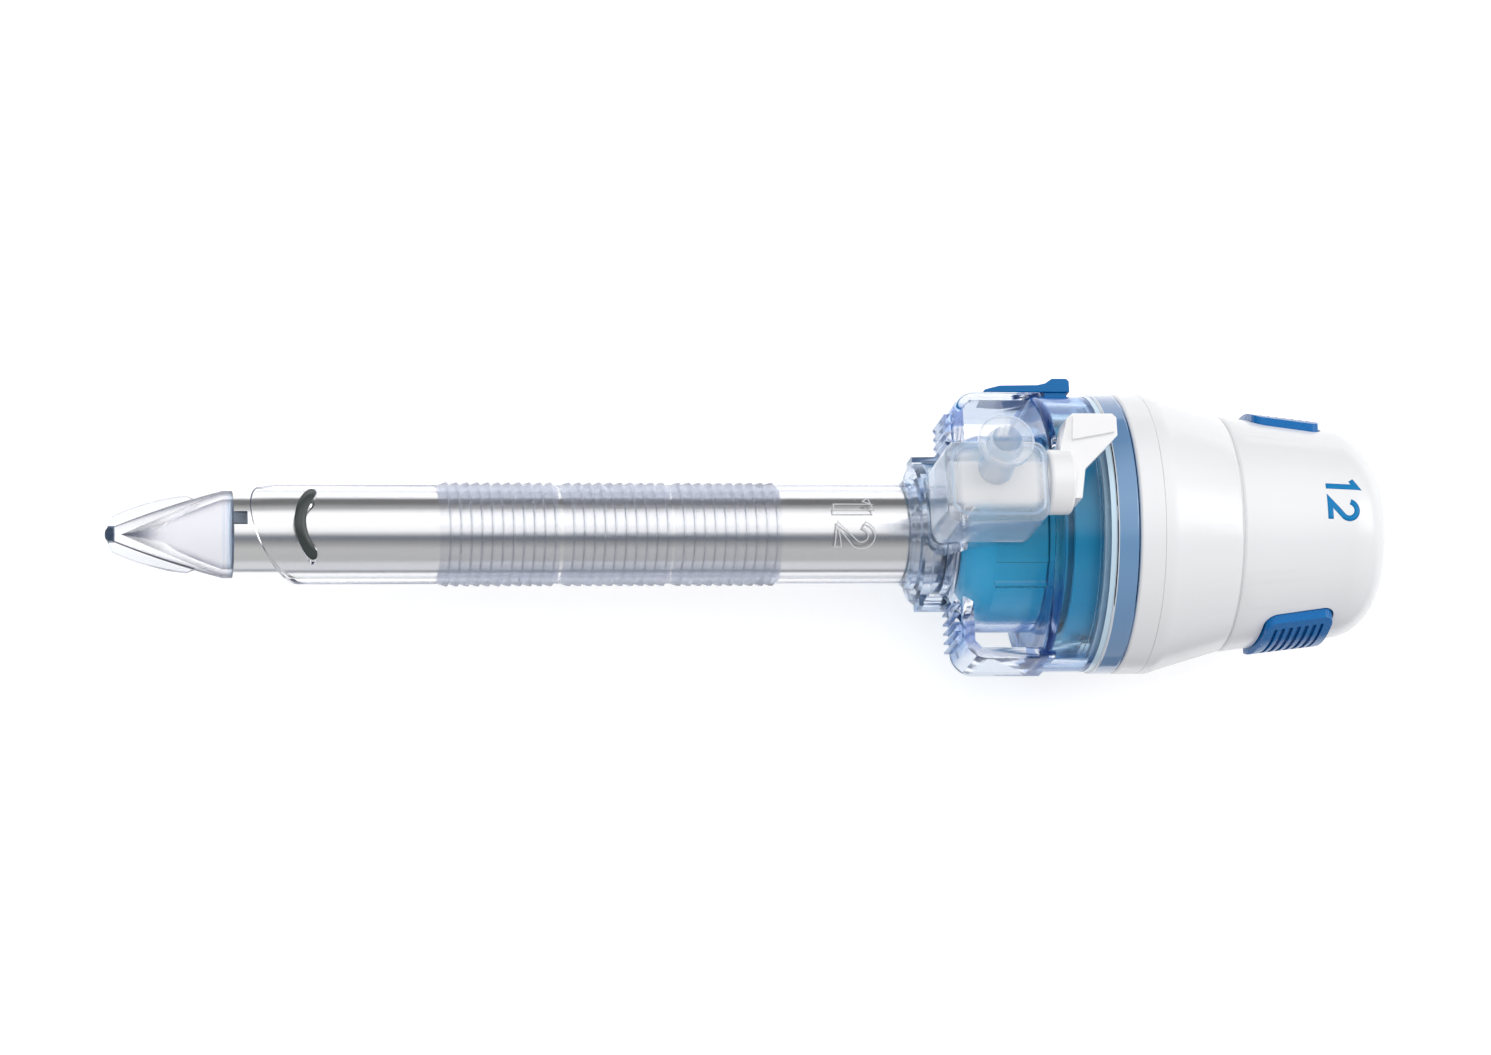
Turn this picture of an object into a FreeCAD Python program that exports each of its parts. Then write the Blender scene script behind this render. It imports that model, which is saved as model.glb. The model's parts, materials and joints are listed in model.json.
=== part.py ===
import FreeCAD, Part
import math
import os

Vector = FreeCAD.Vector
os.makedirs("parts", exist_ok=True)

# A 12 mm laparoscopic trocar, lying along X with its tip towards -X.
# The origin is on the long axis, at the outer face of the housing's nozzle.
# The gas tap points to +Z, and the finger wings and release buttons are at +Y and -Y.
# All sizes are in millimetres.

# Clearances
SLIDE_GAP = 0.1
FIXED_GAP = 0.05
PART_GAP = 0.2
SEAM_GAP = 0.1

# Shaft and sleeve
SCOPE_BORE = 5.3
SHAFT_WALL = 1.05
SLEEVE_WALL = 0.8
SLEEVE_LENGTH = 98.0
SHAFT_SHOWING = 2.0
TIP_LENGTH = 18.2

# Lengths along the axis, from the nozzle face to the end of the cap
NOZZLE_LENGTH = 4.0
CUP_LENGTH = 15.0
DRUM_LENGTH = 7.5
COLLAR_LENGTH = 3.5
SEAL_FLANGE_LENGTH = 3.7
COVER_LENGTH = 12.5
HANDLE_LENGTH = 24.0

# The drum's radius, the walls of the head and the steps by which its other radii follow from the drum's
DRUM_RADIUS = 20.4
DRUM_WALL = 1.4
HOUSING_WALL = 1.2
RIM_STEP = 0.4
LOCK_STEP = 3.5
SKIRT_STEP = 1.0
SKIRT_WALL = 1.2
CUP_STEP = 1.3
COVER_WALL = 1.5
COVER_TAPER = 3.3
CAP_WALL = 1.6
CAP_TAPER = 1.9

# Values that follow from the ones above
SHAFT_RADIUS = SCOPE_BORE + SHAFT_WALL
SLEEVE_BORE = SHAFT_RADIUS + SLIDE_GAP
SLEEVE_RADIUS = SLEEVE_BORE + SLEEVE_WALL
LIP_X = -SLEEVE_LENGTH
SHAFT_X = LIP_X - SHAFT_SHOWING
TIP_X = SHAFT_X - TIP_LENGTH
DECK_X = NOZZLE_LENGTH + CUP_LENGTH
COLLAR_X = DECK_X + DRUM_LENGTH
COLLAR_END_X = COLLAR_X + COLLAR_LENGTH
SEAL_X = COLLAR_END_X + SEAM_GAP
COVER_X = SEAL_X + SEAL_FLANGE_LENGTH
COVER_END_X = COVER_X + COVER_LENGTH
HANDLE_X = COVER_END_X + PART_GAP
HANDLE_END_X = HANDLE_X + HANDLE_LENGTH
DRUM_BORE = DRUM_RADIUS - DRUM_WALL
RIM_RADIUS = DRUM_RADIUS + RIM_STEP
LOCK_BORE = DRUM_RADIUS - LOCK_STEP
SKIRT_RADIUS = LOCK_BORE - SKIRT_STEP
SKIRT_BORE = SKIRT_RADIUS - SKIRT_WALL
CUP_BORE = SKIRT_BORE - CUP_STEP
CUP_RADIUS = CUP_BORE + HOUSING_WALL
COVER_TOP_RADIUS = RIM_RADIUS - COVER_TAPER
CAP_END_RADIUS = COVER_TOP_RADIUS - CAP_TAPER


def point(x, r):
    return Vector(x, 0, r)


class Outline:
    """A closed outline of lines and arcs, drawn in x and r and turned about the long axis."""

    def __init__(self, x, r):
        self.first = point(x, r)
        self.at = self.first
        self.edges = []

    def line(self, x, r):
        end = point(x, r)
        if self.at.distanceToPoint(end) > 1e-6:
            self.edges.append(Part.makeLine(self.at, end))
            self.at = end
        return self

    def arc(self, x, r, bulge):
        """An arc that stands out to the left of its chord by the bulge."""
        end = point(x, r)
        chord = end.sub(self.at)
        across = Vector(-chord.z, 0, chord.x).normalize()
        middle = self.at.add(chord.multiply(0.5)).add(across.multiply(bulge))
        self.edges.append(Part.Arc(self.at, middle, end).toShape())
        self.at = end
        return self

    def face(self):
        self.line(self.first.x, self.first.z)
        return Part.Face(Part.Wire(self.edges))

    def turned(self):
        return self.face().revolve(Vector(0, 0, 0), Vector(1, 0, 0), 360)


def lathe(points):
    outline = Outline(*points[0])
    for x, r in points[1:]:
        outline.line(x, r)
    return outline.turned()


def ring(x0, x1, outer, inner=0.0):
    body = Part.makeCylinder(outer, x1 - x0, Vector(x0, 0, 0), Vector(1, 0, 0))
    if inner > 0:
        hole = Part.makeCylinder(inner, x1 - x0 + 2, Vector(x0 - 1, 0, 0), Vector(1, 0, 0))
        body = body.cut(hole)
    return body


def rod(start, direction, radius, length):
    return Part.makeCylinder(radius, length, start, direction)


def block(x, y, z):
    """A box from its three pairs of limits."""
    size = (x[1] - x[0], y[1] - y[0], z[1] - z[0])
    return Part.makeBox(*size, Vector(x[0], y[0], z[0]))


def rounded_block(x, y, z, radius, along):
    """A box whose four edges along one direction are rounded."""
    box = block(x, y, z)
    edges = [e for e in box.Edges if abs(e.tangentAt(e.FirstParameter).dot(along)) > 0.99]
    return box.makeFillet(radius, edges)


def plate(points, half_width):
    """A flat plate with an outline in x and y, centred on the plane of the axis."""
    corners = [Vector(x, y, -half_width) for x, y in points]
    face = Part.Face(Part.makePolygon(corners + corners[:1]))
    return face.extrude(Vector(0, 0, 2 * half_width))


def wedge(x0, x1, outer, inner, middle_angle, half_angle):
    """A piece of a ring about the long axis. Angles are in degrees from +Y towards +Z."""
    sector = ring(x0, x1, outer, inner)
    corners = [Vector(x0, 0, 0)]
    for step in range(5):
        turn = math.radians(middle_angle - half_angle + step * half_angle / 2)
        corners.append(Vector(x0, 2 * outer * math.cos(turn), 2 * outer * math.sin(turn)))
    face = Part.Face(Part.makePolygon(corners + corners[:1]))
    return sector.common(face.extrude(Vector(x1 - x0, 0, 0)))


def about_axis(shape, degrees):
    turned = shape.copy()
    turned.rotate(Vector(0, 0, 0), Vector(1, 0, 0), degrees)
    return turned


def on_side(shape, side):
    """The shape where it is for the +Y side, or half a turn round for the -Y side."""
    return shape if side > 0 else about_axis(shape, 180)


def joined(shapes):
    return shapes[0].fuse(shapes[1:]).removeSplitter()


def save(name, shape):
    solids = shape.Solids
    kept = solids[0] if len(solids) == 1 else Part.Compound(solids)
    kept.exportStep("parts/" + name + ".step")
    print(name, "solids", len(solids), "volume", round(kept.Volume, 1), "valid", kept.isValid())


# Tip of the obturator: a hollow clear cone with two fins

NOSE_RADIUS = 1.05
TIP_BULGE = 0.28
TIP_BAND = 1.3
SPIGOT_LENGTH = 7.0
SPIGOT_WALL = 0.7
SPIGOT_BORE = SCOPE_BORE - 0.2
SPIGOT_RADIUS = SPIGOT_BORE + SPIGOT_WALL
FIN_THICKNESS = 1.0
FIN_FRONT = 2.6
FIN_BACK = 5.7
FIN_END = 11.7
FIN_BULGE = 0.5
KEY_WIDTH = 1.9
KEY_TURN = -8.0


def tip_hollow():
    apex = TIP_X + 2.4
    end = SHAFT_X + SPIGOT_LENGTH + 1
    return lathe([(apex, 0), (SHAFT_X - TIP_BAND, SPIGOT_BORE), (end, SPIGOT_BORE), (end, 0)])


def fin_pair():
    front, end = TIP_X + 1.0, TIP_X + FIN_END
    outline = Outline(TIP_X + 0.25, 0).line(TIP_X + 0.25, 0.7).line(front, FIN_FRONT)
    outline.arc(end, FIN_BACK, FIN_BULGE).line(end + 1.4, SPIGOT_BORE).line(end + 1.4, 0)
    upper = outline.face().extrude(Vector(0, FIN_THICKNESS, 0))
    upper.translate(Vector(0, -FIN_THICKNESS / 2, 0))
    upper = about_axis(upper, -90)
    return upper.fuse(about_axis(upper, 180))


def tip_key():
    """The key that stops the tip from turning in the shaft."""
    half = KEY_WIDTH / 2
    key = block((SHAFT_X, SHAFT_X + KEY_WIDTH), (-half, half), (SPIGOT_BORE + 0.4, SHAFT_RADIUS - 0.2))
    return about_axis(key, KEY_TURN)


def obturator_tip():
    outside = Outline(TIP_X, 0).arc(TIP_X + NOSE_RADIUS, NOSE_RADIUS, 0.207 * 2 * NOSE_RADIUS)
    outside.arc(SHAFT_X - TIP_BAND, SHAFT_RADIUS, TIP_BULGE)
    outside.line(SHAFT_X, SHAFT_RADIUS).line(SHAFT_X, SPIGOT_RADIUS)
    outside.line(SHAFT_X + SPIGOT_LENGTH, SPIGOT_RADIUS).line(SHAFT_X + SPIGOT_LENGTH, 0)
    solid = joined([outside.turned(), fin_pair()])
    return joined([solid.cut(tip_hollow()), tip_key()])


# Shaft of the obturator: a metal tube that holds the tip at one end and a flare at the other

FLARE_RADIUS = SHAFT_RADIUS + 1.05
FLARE_LENGTH = 1.0
HUB_LENGTH = 13.5
FLARE_X = HANDLE_X + HUB_LENGTH


def obturator_shaft():
    socket = SPIGOT_RADIUS + FIXED_GAP
    socket_end = SHAFT_X + SPIGOT_LENGTH + FIXED_GAP
    end = FLARE_X + FLARE_LENGTH
    tube = lathe([(SHAFT_X, SHAFT_RADIUS), (FLARE_X, SHAFT_RADIUS), (FLARE_X, FLARE_RADIUS),
                  (end, FLARE_RADIUS), (end, SCOPE_BORE), (socket_end, SCOPE_BORE),
                  (socket_end, socket), (SHAFT_X, socket)])
    half = KEY_WIDTH / 2 + FIXED_GAP
    notch = block((SHAFT_X - 1, SHAFT_X + KEY_WIDTH + FIXED_GAP), (-half, half),
                  (SPIGOT_BORE, SHAFT_RADIUS + 1))
    return tube.cut(about_axis(notch, KEY_TURN))


# Sleeve: the clear tube that stays in the patient, with an oblique lip and grip ribs

LIP_REACH = 9.3
LIP_CLOCK = -23.5
LIP_TAPER = 4.5
LIP_EDGE = 0.2
SLOT_X = LIP_X + 7.4
SLOT_WIDTH = 1.4
SLOT_BEND = 6.6
SLOT_HALF_ANGLE = 45.0
RIB_PITCH = 1.53
RIB_HEIGHT = 0.38
RIB_PLACES = (27.8, 45.8, 62.0)
RIB_COUNTS = (11, 10, 10)
FLANGE_RADIUS = SLEEVE_RADIUS + 1.15
FLANGE_LENGTH = 1.5


def rib_group(start, count):
    outline = Outline(start, SLEEVE_RADIUS - SLEEVE_WALL / 2)
    for number in range(count):
        x = start + number * RIB_PITCH
        outline.line(x, SLEEVE_RADIUS)
        outline.line(x + RIB_PITCH * 0.75, SLEEVE_RADIUS + RIB_HEIGHT)
        outline.line(x + RIB_PITCH * 0.95, SLEEVE_RADIUS + RIB_HEIGHT)
        outline.line(x + RIB_PITCH, SLEEVE_RADIUS)
    outline.line(start + count * RIB_PITCH, SLEEVE_RADIUS - SLEEVE_WALL / 2)
    return outline.turned()


def oblique_cut():
    """What is cut away in front of the lip. The long side is clocked towards +Y."""
    reach = 4 * SLEEVE_RADIUS
    middle = LIP_X + LIP_REACH / 2
    slope = LIP_REACH / 2 / SLEEVE_RADIUS
    corners = [Vector(middle - slope * reach, -reach, reach), Vector(middle + slope * reach, -reach, -reach),
               Vector(middle - 3 * reach, -reach, -reach), Vector(middle - 3 * reach, -reach, reach)]
    face = Part.Face(Part.makePolygon(corners + corners[:1]))
    return about_axis(face.extrude(Vector(0, 2 * reach, 0)), LIP_CLOCK)


def curved_slot():
    """A crescent window through the upper wall, bowed towards the tip."""
    centre = SLOT_X + SLOT_BEND
    inner, outer = SLOT_BEND - SLOT_WIDTH / 2, SLOT_BEND + SLOT_WIDTH / 2
    turn = math.radians(SLOT_HALF_ANGLE)

    def at(radius, angle):
        return Vector(centre - radius * math.cos(angle), radius * math.sin(angle), 0)

    edges = [Part.Arc(at(outer, -turn), at(outer, 0), at(outer, turn)).toShape(),
             Part.makeLine(at(outer, turn), at(inner, turn)),
             Part.Arc(at(inner, turn), at(inner, 0), at(inner, -turn)).toShape(),
             Part.makeLine(at(inner, -turn), at(outer, -turn))]
    slot = Part.Face(Part.Wire(edges)).extrude(Vector(0, 0, 2 * SLEEVE_RADIUS))
    ends = [rod(at(SLOT_BEND, side * turn), Vector(0, 0, 1), SLOT_WIDTH / 2, 2 * SLEEVE_RADIUS)
            for side in (1, -1)]
    return slot.fuse(ends)


def cannula_tube():
    flange_x = NOZZLE_LENGTH
    flange_end = flange_x + FLANGE_LENGTH
    tube = lathe([(LIP_X, SLEEVE_BORE), (LIP_X, SLEEVE_BORE + LIP_EDGE), (LIP_X + LIP_TAPER, SLEEVE_RADIUS),
                  (flange_x, SLEEVE_RADIUS), (flange_x, FLANGE_RADIUS), (flange_end, FLANGE_RADIUS),
                  (flange_end, SLEEVE_BORE)])
    ribs = [rib_group(LIP_X + place, count) for place, count in zip(RIB_PLACES, RIB_COUNTS)]
    tube = joined([tube] + ribs)
    return tube.cut(oblique_cut()).cut(curved_slot())


# Housing: one clear moulding with the nozzle, cup, deck, drum, finger wings and tap boss

NECK_RADIUS = FLANGE_RADIUS + 0.5
DISC_RADIUS = NECK_RADIUS + 1.5
DISC_THICKNESS = 1.8
BEAD_RADIUS = SLEEVE_RADIUS + 0.95
BEAD_LENGTH = 1.2
CUP_ROUND_X = 10.0
CUP_RIB_ANGLES = (40.0, 56.0, 119.0, 134.0)
CUP_RIB_HEIGHT = 0.8
CUP_RIB_HALF_ANGLE = 1.6
DECK_THICKNESS = 1.4
WING_X = 6.1
WING_WALL = 1.5
WING_ROOT = NECK_RADIUS - 0.4
WING_TOP = DRUM_RADIUS - 0.1
WING_HALF_WIDTH = 6.5
WING_CORNER = 3.5
WING_INNER_CORNER = 1.0
WING_EDGE = 1.0
TOOTH_PITCH = 1.4
TOOTH_HEIGHT = 1.0
TOOTH_COUNT = 6
TOOTH_HALF_WIDTH = 4.4
TOOTH_START = WING_TOP - WING_CORNER - TOOTH_COUNT * TOOTH_PITCH + 0.5
EYELET_BAR = (NECK_RADIUS + 1.0, NECK_RADIUS + 2.5)
EYELET_HALF_WIDTH = 2.2
TAP_X = 6.8
TAP_Y = 0.9
BARREL_BORE = 3.0
BARREL_WALL = 1.4
TAP_HUB_RADIUS = 4.7
BOSS_X = (0.6, 14.9)
BOSS_HALF_WIDTH = 6.2
BOSS_TOP = CUP_RADIUS + 2.7
BOSS_CORNER = 1.8
GAS_BORE = 1.3
LATCH_SLOT_HALF = 10.0
LATCH_TURN = 28.0

BARREL_RADIUS = BARREL_BORE + BARREL_WALL
TAP_Z = DRUM_RADIUS + TAP_HUB_RADIUS + 0.5
TAP_AXIS = Vector(0, TAP_Y, TAP_Z)


def housing_shell():
    """The turned body: nozzle disc, neck, rounded cup, deck and drum."""
    deck = DECK_X - DECK_THICKNESS
    seat = FLANGE_RADIUS + FIXED_GAP
    bore = SLEEVE_RADIUS + FIXED_GAP
    body = Outline(-BEAD_LENGTH, bore).line(-BEAD_LENGTH, BEAD_RADIUS - 0.4)
    body.line(-BEAD_LENGTH + 0.4, BEAD_RADIUS).line(0, BEAD_RADIUS)
    body.line(0, DISC_RADIUS - 0.4).line(0.4, DISC_RADIUS).line(DISC_THICKNESS, DISC_RADIUS)
    body.line(DISC_THICKNESS, NECK_RADIUS).line(NOZZLE_LENGTH, NECK_RADIUS)
    body.arc(CUP_ROUND_X, CUP_RADIUS, 1.1).line(deck, CUP_RADIUS)
    body.line(deck, DRUM_RADIUS - 1.0).arc(deck + 1.0, DRUM_RADIUS, 0.41).line(COLLAR_X, DRUM_RADIUS)
    body.line(COLLAR_X, DRUM_BORE).line(DECK_X, DRUM_BORE).line(DECK_X, CUP_BORE)
    body.line(CUP_ROUND_X, CUP_BORE).arc(NOZZLE_LENGTH + FLANGE_LENGTH, FLANGE_RADIUS + 0.9, -0.9)
    body.line(NOZZLE_LENGTH + FLANGE_LENGTH, seat).line(NOZZLE_LENGTH, seat).line(NOZZLE_LENGTH, bore)
    return body.turned()


def wing():
    """An L-shaped finger wing at +Y, with ribs that lean outwards."""
    back, inside = WING_X + WING_WALL, WING_TOP - WING_WALL
    end = DECK_X + 0.5
    turn = math.sqrt(0.5)
    corner = (WING_X + WING_CORNER, WING_TOP - WING_CORNER)
    edges = [Part.makeLine(Vector(WING_X, WING_ROOT, 0), Vector(WING_X, corner[1], 0)),
             Part.Arc(Vector(WING_X, corner[1], 0),
                      Vector(corner[0] - WING_CORNER * turn, corner[1] + WING_CORNER * turn, 0),
                      Vector(corner[0], WING_TOP, 0)).toShape()]
    rest = [(corner[0], WING_TOP), (end, WING_TOP), (end, inside), (back + WING_INNER_CORNER, inside),
            (back, inside - WING_INNER_CORNER), (back, WING_ROOT), (WING_X, WING_ROOT)]
    for (x0, y0), (x1, y1) in zip(rest, rest[1:]):
        edges.append(Part.makeLine(Vector(x0, y0, 0), Vector(x1, y1, 0)))
    face = Part.Face(Part.Wire(edges))
    body = face.extrude(Vector(0, 0, 2 * WING_HALF_WIDTH))
    body.translate(Vector(0, 0, -WING_HALF_WIDTH))
    top = [e for e in body.Edges if is_wing_rim(e)]
    body = body.makeFillet(WING_EDGE, top)
    teeth = []
    for number in range(TOOTH_COUNT):
        y = TOOTH_START + number * TOOTH_PITCH
        tooth = [(WING_X + 0.3, y), (WING_X, y), (WING_X - TOOTH_HEIGHT, y + TOOTH_PITCH * 0.75),
                 (WING_X - TOOTH_HEIGHT, y + TOOTH_PITCH * 0.95), (WING_X + 0.3, y + TOOTH_PITCH * 0.95)]
        teeth.append(plate(tooth, TOOTH_HALF_WIDTH))
    return joined([body] + teeth)


def is_wing_rim(edge):
    """Is this an edge of the wing's outer skin, on either flat side?"""
    middle = edge.valueAt((edge.FirstParameter + edge.LastParameter) / 2)
    flat_side = abs(abs(middle.z) - WING_HALF_WIDTH) < 1e-6
    on_front = abs(middle.x - WING_X) < 1e-6
    on_corner = edge.Curve.TypeId == "Part::GeomCircle"
    on_top = abs(middle.y - WING_TOP) < 1e-6
    return flat_side and (on_front or on_corner or on_top)


def eyelet():
    """A bar that bridges the disc and the wing, so that a suture can be tied round it."""
    low, high = EYELET_BAR
    width = (-EYELET_HALF_WIDTH, EYELET_HALF_WIDTH)
    bar = rounded_block((0.4, WING_X + 0.5), (low, high), width, 0.5, Vector(1, 0, 0))
    foot = block((0.4, DISC_THICKNESS), (NECK_RADIUS, low + 0.5), width)
    return bar.fuse(foot)


def tap_boss():
    width = (TAP_Y - BOSS_HALF_WIDTH, TAP_Y + BOSS_HALF_WIDTH)
    return rounded_block(BOSS_X, width, (NECK_RADIUS - 1, BOSS_TOP), BOSS_CORNER, Vector(0, 0, 1))


def housing_inside():
    """The space of the cup and the nozzle, which every added feature is cut back from."""
    seat = FLANGE_RADIUS + FIXED_GAP
    bore = SLEEVE_RADIUS + FIXED_GAP
    space = Outline(-BEAD_LENGTH - 1, 0).line(-BEAD_LENGTH - 1, bore).line(NOZZLE_LENGTH, bore)
    space.line(NOZZLE_LENGTH, seat).line(NOZZLE_LENGTH + FLANGE_LENGTH, seat)
    space.line(NOZZLE_LENGTH + FLANGE_LENGTH, FLANGE_RADIUS + 0.9).arc(CUP_ROUND_X, CUP_BORE, 0.9)
    return space.line(DECK_X + 1, CUP_BORE).line(DECK_X + 1, 0).turned()


def cup_ribs():
    """Thin ribs along the outside of the cup, up to the deck."""
    outer, inner = CUP_RADIUS + CUP_RIB_HEIGHT, CUP_RADIUS - HOUSING_WALL / 2
    return [wedge(CUP_ROUND_X, DECK_X - DECK_THICKNESS / 2, outer, inner, angle, CUP_RIB_HALF_ANGLE)
            for angle in CUP_RIB_ANGLES]


def cannula_housing():
    added = [tap_boss()] + cup_ribs()
    for side in (1, -1):
        added += [on_side(wing(), side), on_side(eyelet(), side)]
    body = joined([housing_shell()] + added)
    inlet = rod(Vector(TAP_X, TAP_Y, NECK_RADIUS), Vector(0, 0, 1), GAS_BORE, BOSS_TOP)
    drum_space = ring(DECK_X, COLLAR_X + 1, DRUM_BORE)
    half = LATCH_SLOT_HALF + LATCH_TURN / 2
    slot = wedge(DECK_X + 1.4, COLLAR_X + 1, DRUM_RADIUS + 1, DRUM_BORE - 1, -LATCH_TURN / 2, half)
    for space in (housing_inside(), drum_space, inlet, slot):
        body = body.cut(space)
    return body


def housing_collar():
    """The thick tinted rim that closes the drum and keeps the latch ring in."""
    spigot = DRUM_BORE - FIXED_GAP
    ring_bore = LOCK_BORE + 0.5
    start = COLLAR_X - 1.4
    rim = Outline(start, ring_bore).line(start, spigot).line(COLLAR_X, spigot)
    rim.line(COLLAR_X, RIM_RADIUS - 0.3).line(COLLAR_X + 0.3, RIM_RADIUS).line(COLLAR_END_X - 0.3, RIM_RADIUS)
    rim.line(COLLAR_END_X, RIM_RADIUS - 0.3).line(COLLAR_END_X, LOCK_BORE)
    return rim.line(COLLAR_X, LOCK_BORE).line(COLLAR_X, ring_bore).turned()


# Valve: a coloured cup in the housing, the duckbill that hangs in it and the ring that holds it

CUP_GAP = 0.2
VALVE_WALL = 1.2
VALVE_FLANGE_RADIUS = CUP_RADIUS - 0.1
VALVE_FLANGE = 1.4
VALVE_TOP = 6.0
VALVE_HOLE = SHAFT_RADIUS + 1.65
VALVE_RADIUS = CUP_BORE - CUP_GAP
VALVE_BORE = VALVE_RADIUS - VALVE_WALL
VALVE_SHELF = VALVE_BORE - 1.6
VALVE_X = NOZZLE_LENGTH + FLANGE_LENGTH + 0.6
DUCKBILL_FLANGE = 1.4
DUCKBILL_WALL = 1.0
DUCKBILL_REACH = 9.0
DUCKBILL_SLIT = 0.8
DUCKBILL_GAP = 0.25


def valve_cup():
    shelf = DECK_X - 1.4
    round_x = CUP_ROUND_X + 0.5
    cup = Outline(VALVE_X, VALVE_HOLE).line(VALVE_X, FLANGE_RADIUS).line(round_x, VALVE_RADIUS)
    cup.line(DECK_X, VALVE_RADIUS).line(DECK_X, VALVE_FLANGE_RADIUS)
    cup.line(DECK_X + VALVE_FLANGE, VALVE_FLANGE_RADIUS).line(DECK_X + VALVE_FLANGE, VALVE_RADIUS)
    cup.line(DECK_X + VALVE_TOP, VALVE_RADIUS).line(DECK_X + VALVE_TOP, VALVE_BORE).line(DECK_X, VALVE_BORE)
    cup.line(DECK_X, VALVE_SHELF).line(shelf, VALVE_SHELF).line(shelf - VALVE_WALL, VALVE_BORE)
    cup.line(round_x, VALVE_BORE).line(VALVE_X + VALVE_WALL, VALVE_HOLE)
    inlet = rod(Vector(TAP_X, TAP_Y, NECK_RADIUS), Vector(0, 0, 1), GAS_BORE, BOSS_TOP)
    return cup.turned().cut(inlet)


def duckbill_seal():
    """A soft valve whose two lips lie open round the shaft."""
    lip = SHAFT_RADIUS + DUCKBILL_GAP
    mouth = DECK_X - DUCKBILL_REACH
    neck = mouth + 4.0
    flange_end = DECK_X + DUCKBILL_FLANGE
    body = lathe([(mouth, lip), (mouth, lip + DUCKBILL_WALL * 0.6), (neck, lip + DUCKBILL_WALL),
                  (DECK_X - 0.8, VALVE_SHELF - 0.3), (DECK_X, VALVE_SHELF - 0.3),
                  (DECK_X, VALVE_BORE - FIXED_GAP), (flange_end, VALVE_BORE - FIXED_GAP),
                  (flange_end, VALVE_SHELF - 1.0), (neck, lip)])
    slit = block((mouth - 1, neck - 0.6), (-CUP_BORE, CUP_BORE), (-DUCKBILL_SLIT / 2, DUCKBILL_SLIT / 2))
    return body.cut(slit)


def duckbill_retainer():
    start = DECK_X + DUCKBILL_FLANGE
    return ring(start, start + 1.6, VALVE_BORE - FIXED_GAP, VALVE_SHELF - 1.0)


# Gas tap: a body on the boss, with a hose port, and a lever whose plug turns in its barrel

BLOCK_X = (-0.3, 14.7)
BLOCK_HALF_WIDTH = 5.9
BLOCK_SHIFT = -0.8
BLOCK_TOP = TAP_Z + BARREL_RADIUS + 0.3
BLOCK_CORNER = 2.0
BLOCK_EDGE = 1.6
PORT_LEAN = 12.0
PORT_LENGTH = 13.4
PORT_RADIUS = 2.7
PORT_BORE = 2.1
PORT_DEPTH = 7.5
PORT_RIM = 4.0
PORT_RIM_LENGTH = 1.8
PLUG_GAP = 0.05
LEVER_X = BLOCK_X[1] + 0.3
LEVER_HALF_WIDTH = 2.5
LEVER_PAD_HALF_WIDTH = 3.2
LEVER_REACH = 9.6
LEVER_TAIL = 3.0
LEVER_LENGTH = 10.4
LEVER_HUB_LENGTH = 3.6


def port_direction():
    lean = math.radians(PORT_LEAN)
    return Vector(0, math.sin(lean), math.cos(lean))


def stopcock_body():
    base = Vector(TAP_X, TAP_Y, TAP_Z)
    out = port_direction()
    middle = TAP_Y + BLOCK_SHIFT
    width = (middle - BLOCK_HALF_WIDTH, middle + BLOCK_HALF_WIDTH)
    case = rounded_block(BLOCK_X, width, (BOSS_TOP, BLOCK_TOP), BLOCK_CORNER, Vector(0, 0, 1))
    top = [e for e in case.Edges if abs(e.CenterOfMass.z - BLOCK_TOP) < 1e-6]
    case = case.makeFillet(BLOCK_EDGE, top)
    stem = rod(base, out, PORT_RADIUS, PORT_LENGTH)
    rim_start = base.add(Vector(out).multiply(PORT_LENGTH - PORT_RIM_LENGTH))
    rim = rod(rim_start, out, PORT_RIM, PORT_RIM_LENGTH)
    rim = rim.makeChamfer(0.35, [e for e in rim.Edges if e.Curve.TypeId == "Part::GeomCircle"])
    body = joined([case, stem, rim])
    plug_bore = rod(Vector(BLOCK_X[0] + 1.2, TAP_Y, TAP_Z), Vector(1, 0, 0), BARREL_BORE, BLOCK_X[1])
    socket_start = base.add(Vector(out).multiply(PORT_LENGTH - PORT_DEPTH))
    socket = rod(socket_start, out, PORT_BORE, PORT_DEPTH + 1)
    channel = rod(base, out, GAS_BORE, PORT_LENGTH)
    inlet = rod(Vector(TAP_X, TAP_Y, BOSS_TOP - 1), Vector(0, 0, 1), GAS_BORE, TAP_Z - BOSS_TOP)
    for space in (plug_bore, socket, channel, inlet):
        body = body.cut(space)
    return body


def lever_outline():
    """Outline of the lever in x, and in y from the tap's axis."""
    x, reach = LEVER_X, LEVER_REACH
    return [(x + 0.8, -LEVER_TAIL), (x + 4.7, -LEVER_TAIL), (x + 5.1, -0.5), (x + 5.4, 1.4),
            (x + LEVER_LENGTH, reach * 0.66), (x + LEVER_LENGTH, reach - 0.6),
            (x + LEVER_LENGTH - 0.6, reach), (x + 4.0, reach),
            (x + 3.1, reach - 0.7), (x + 1.9, TAP_HUB_RADIUS - 0.4)]


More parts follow.
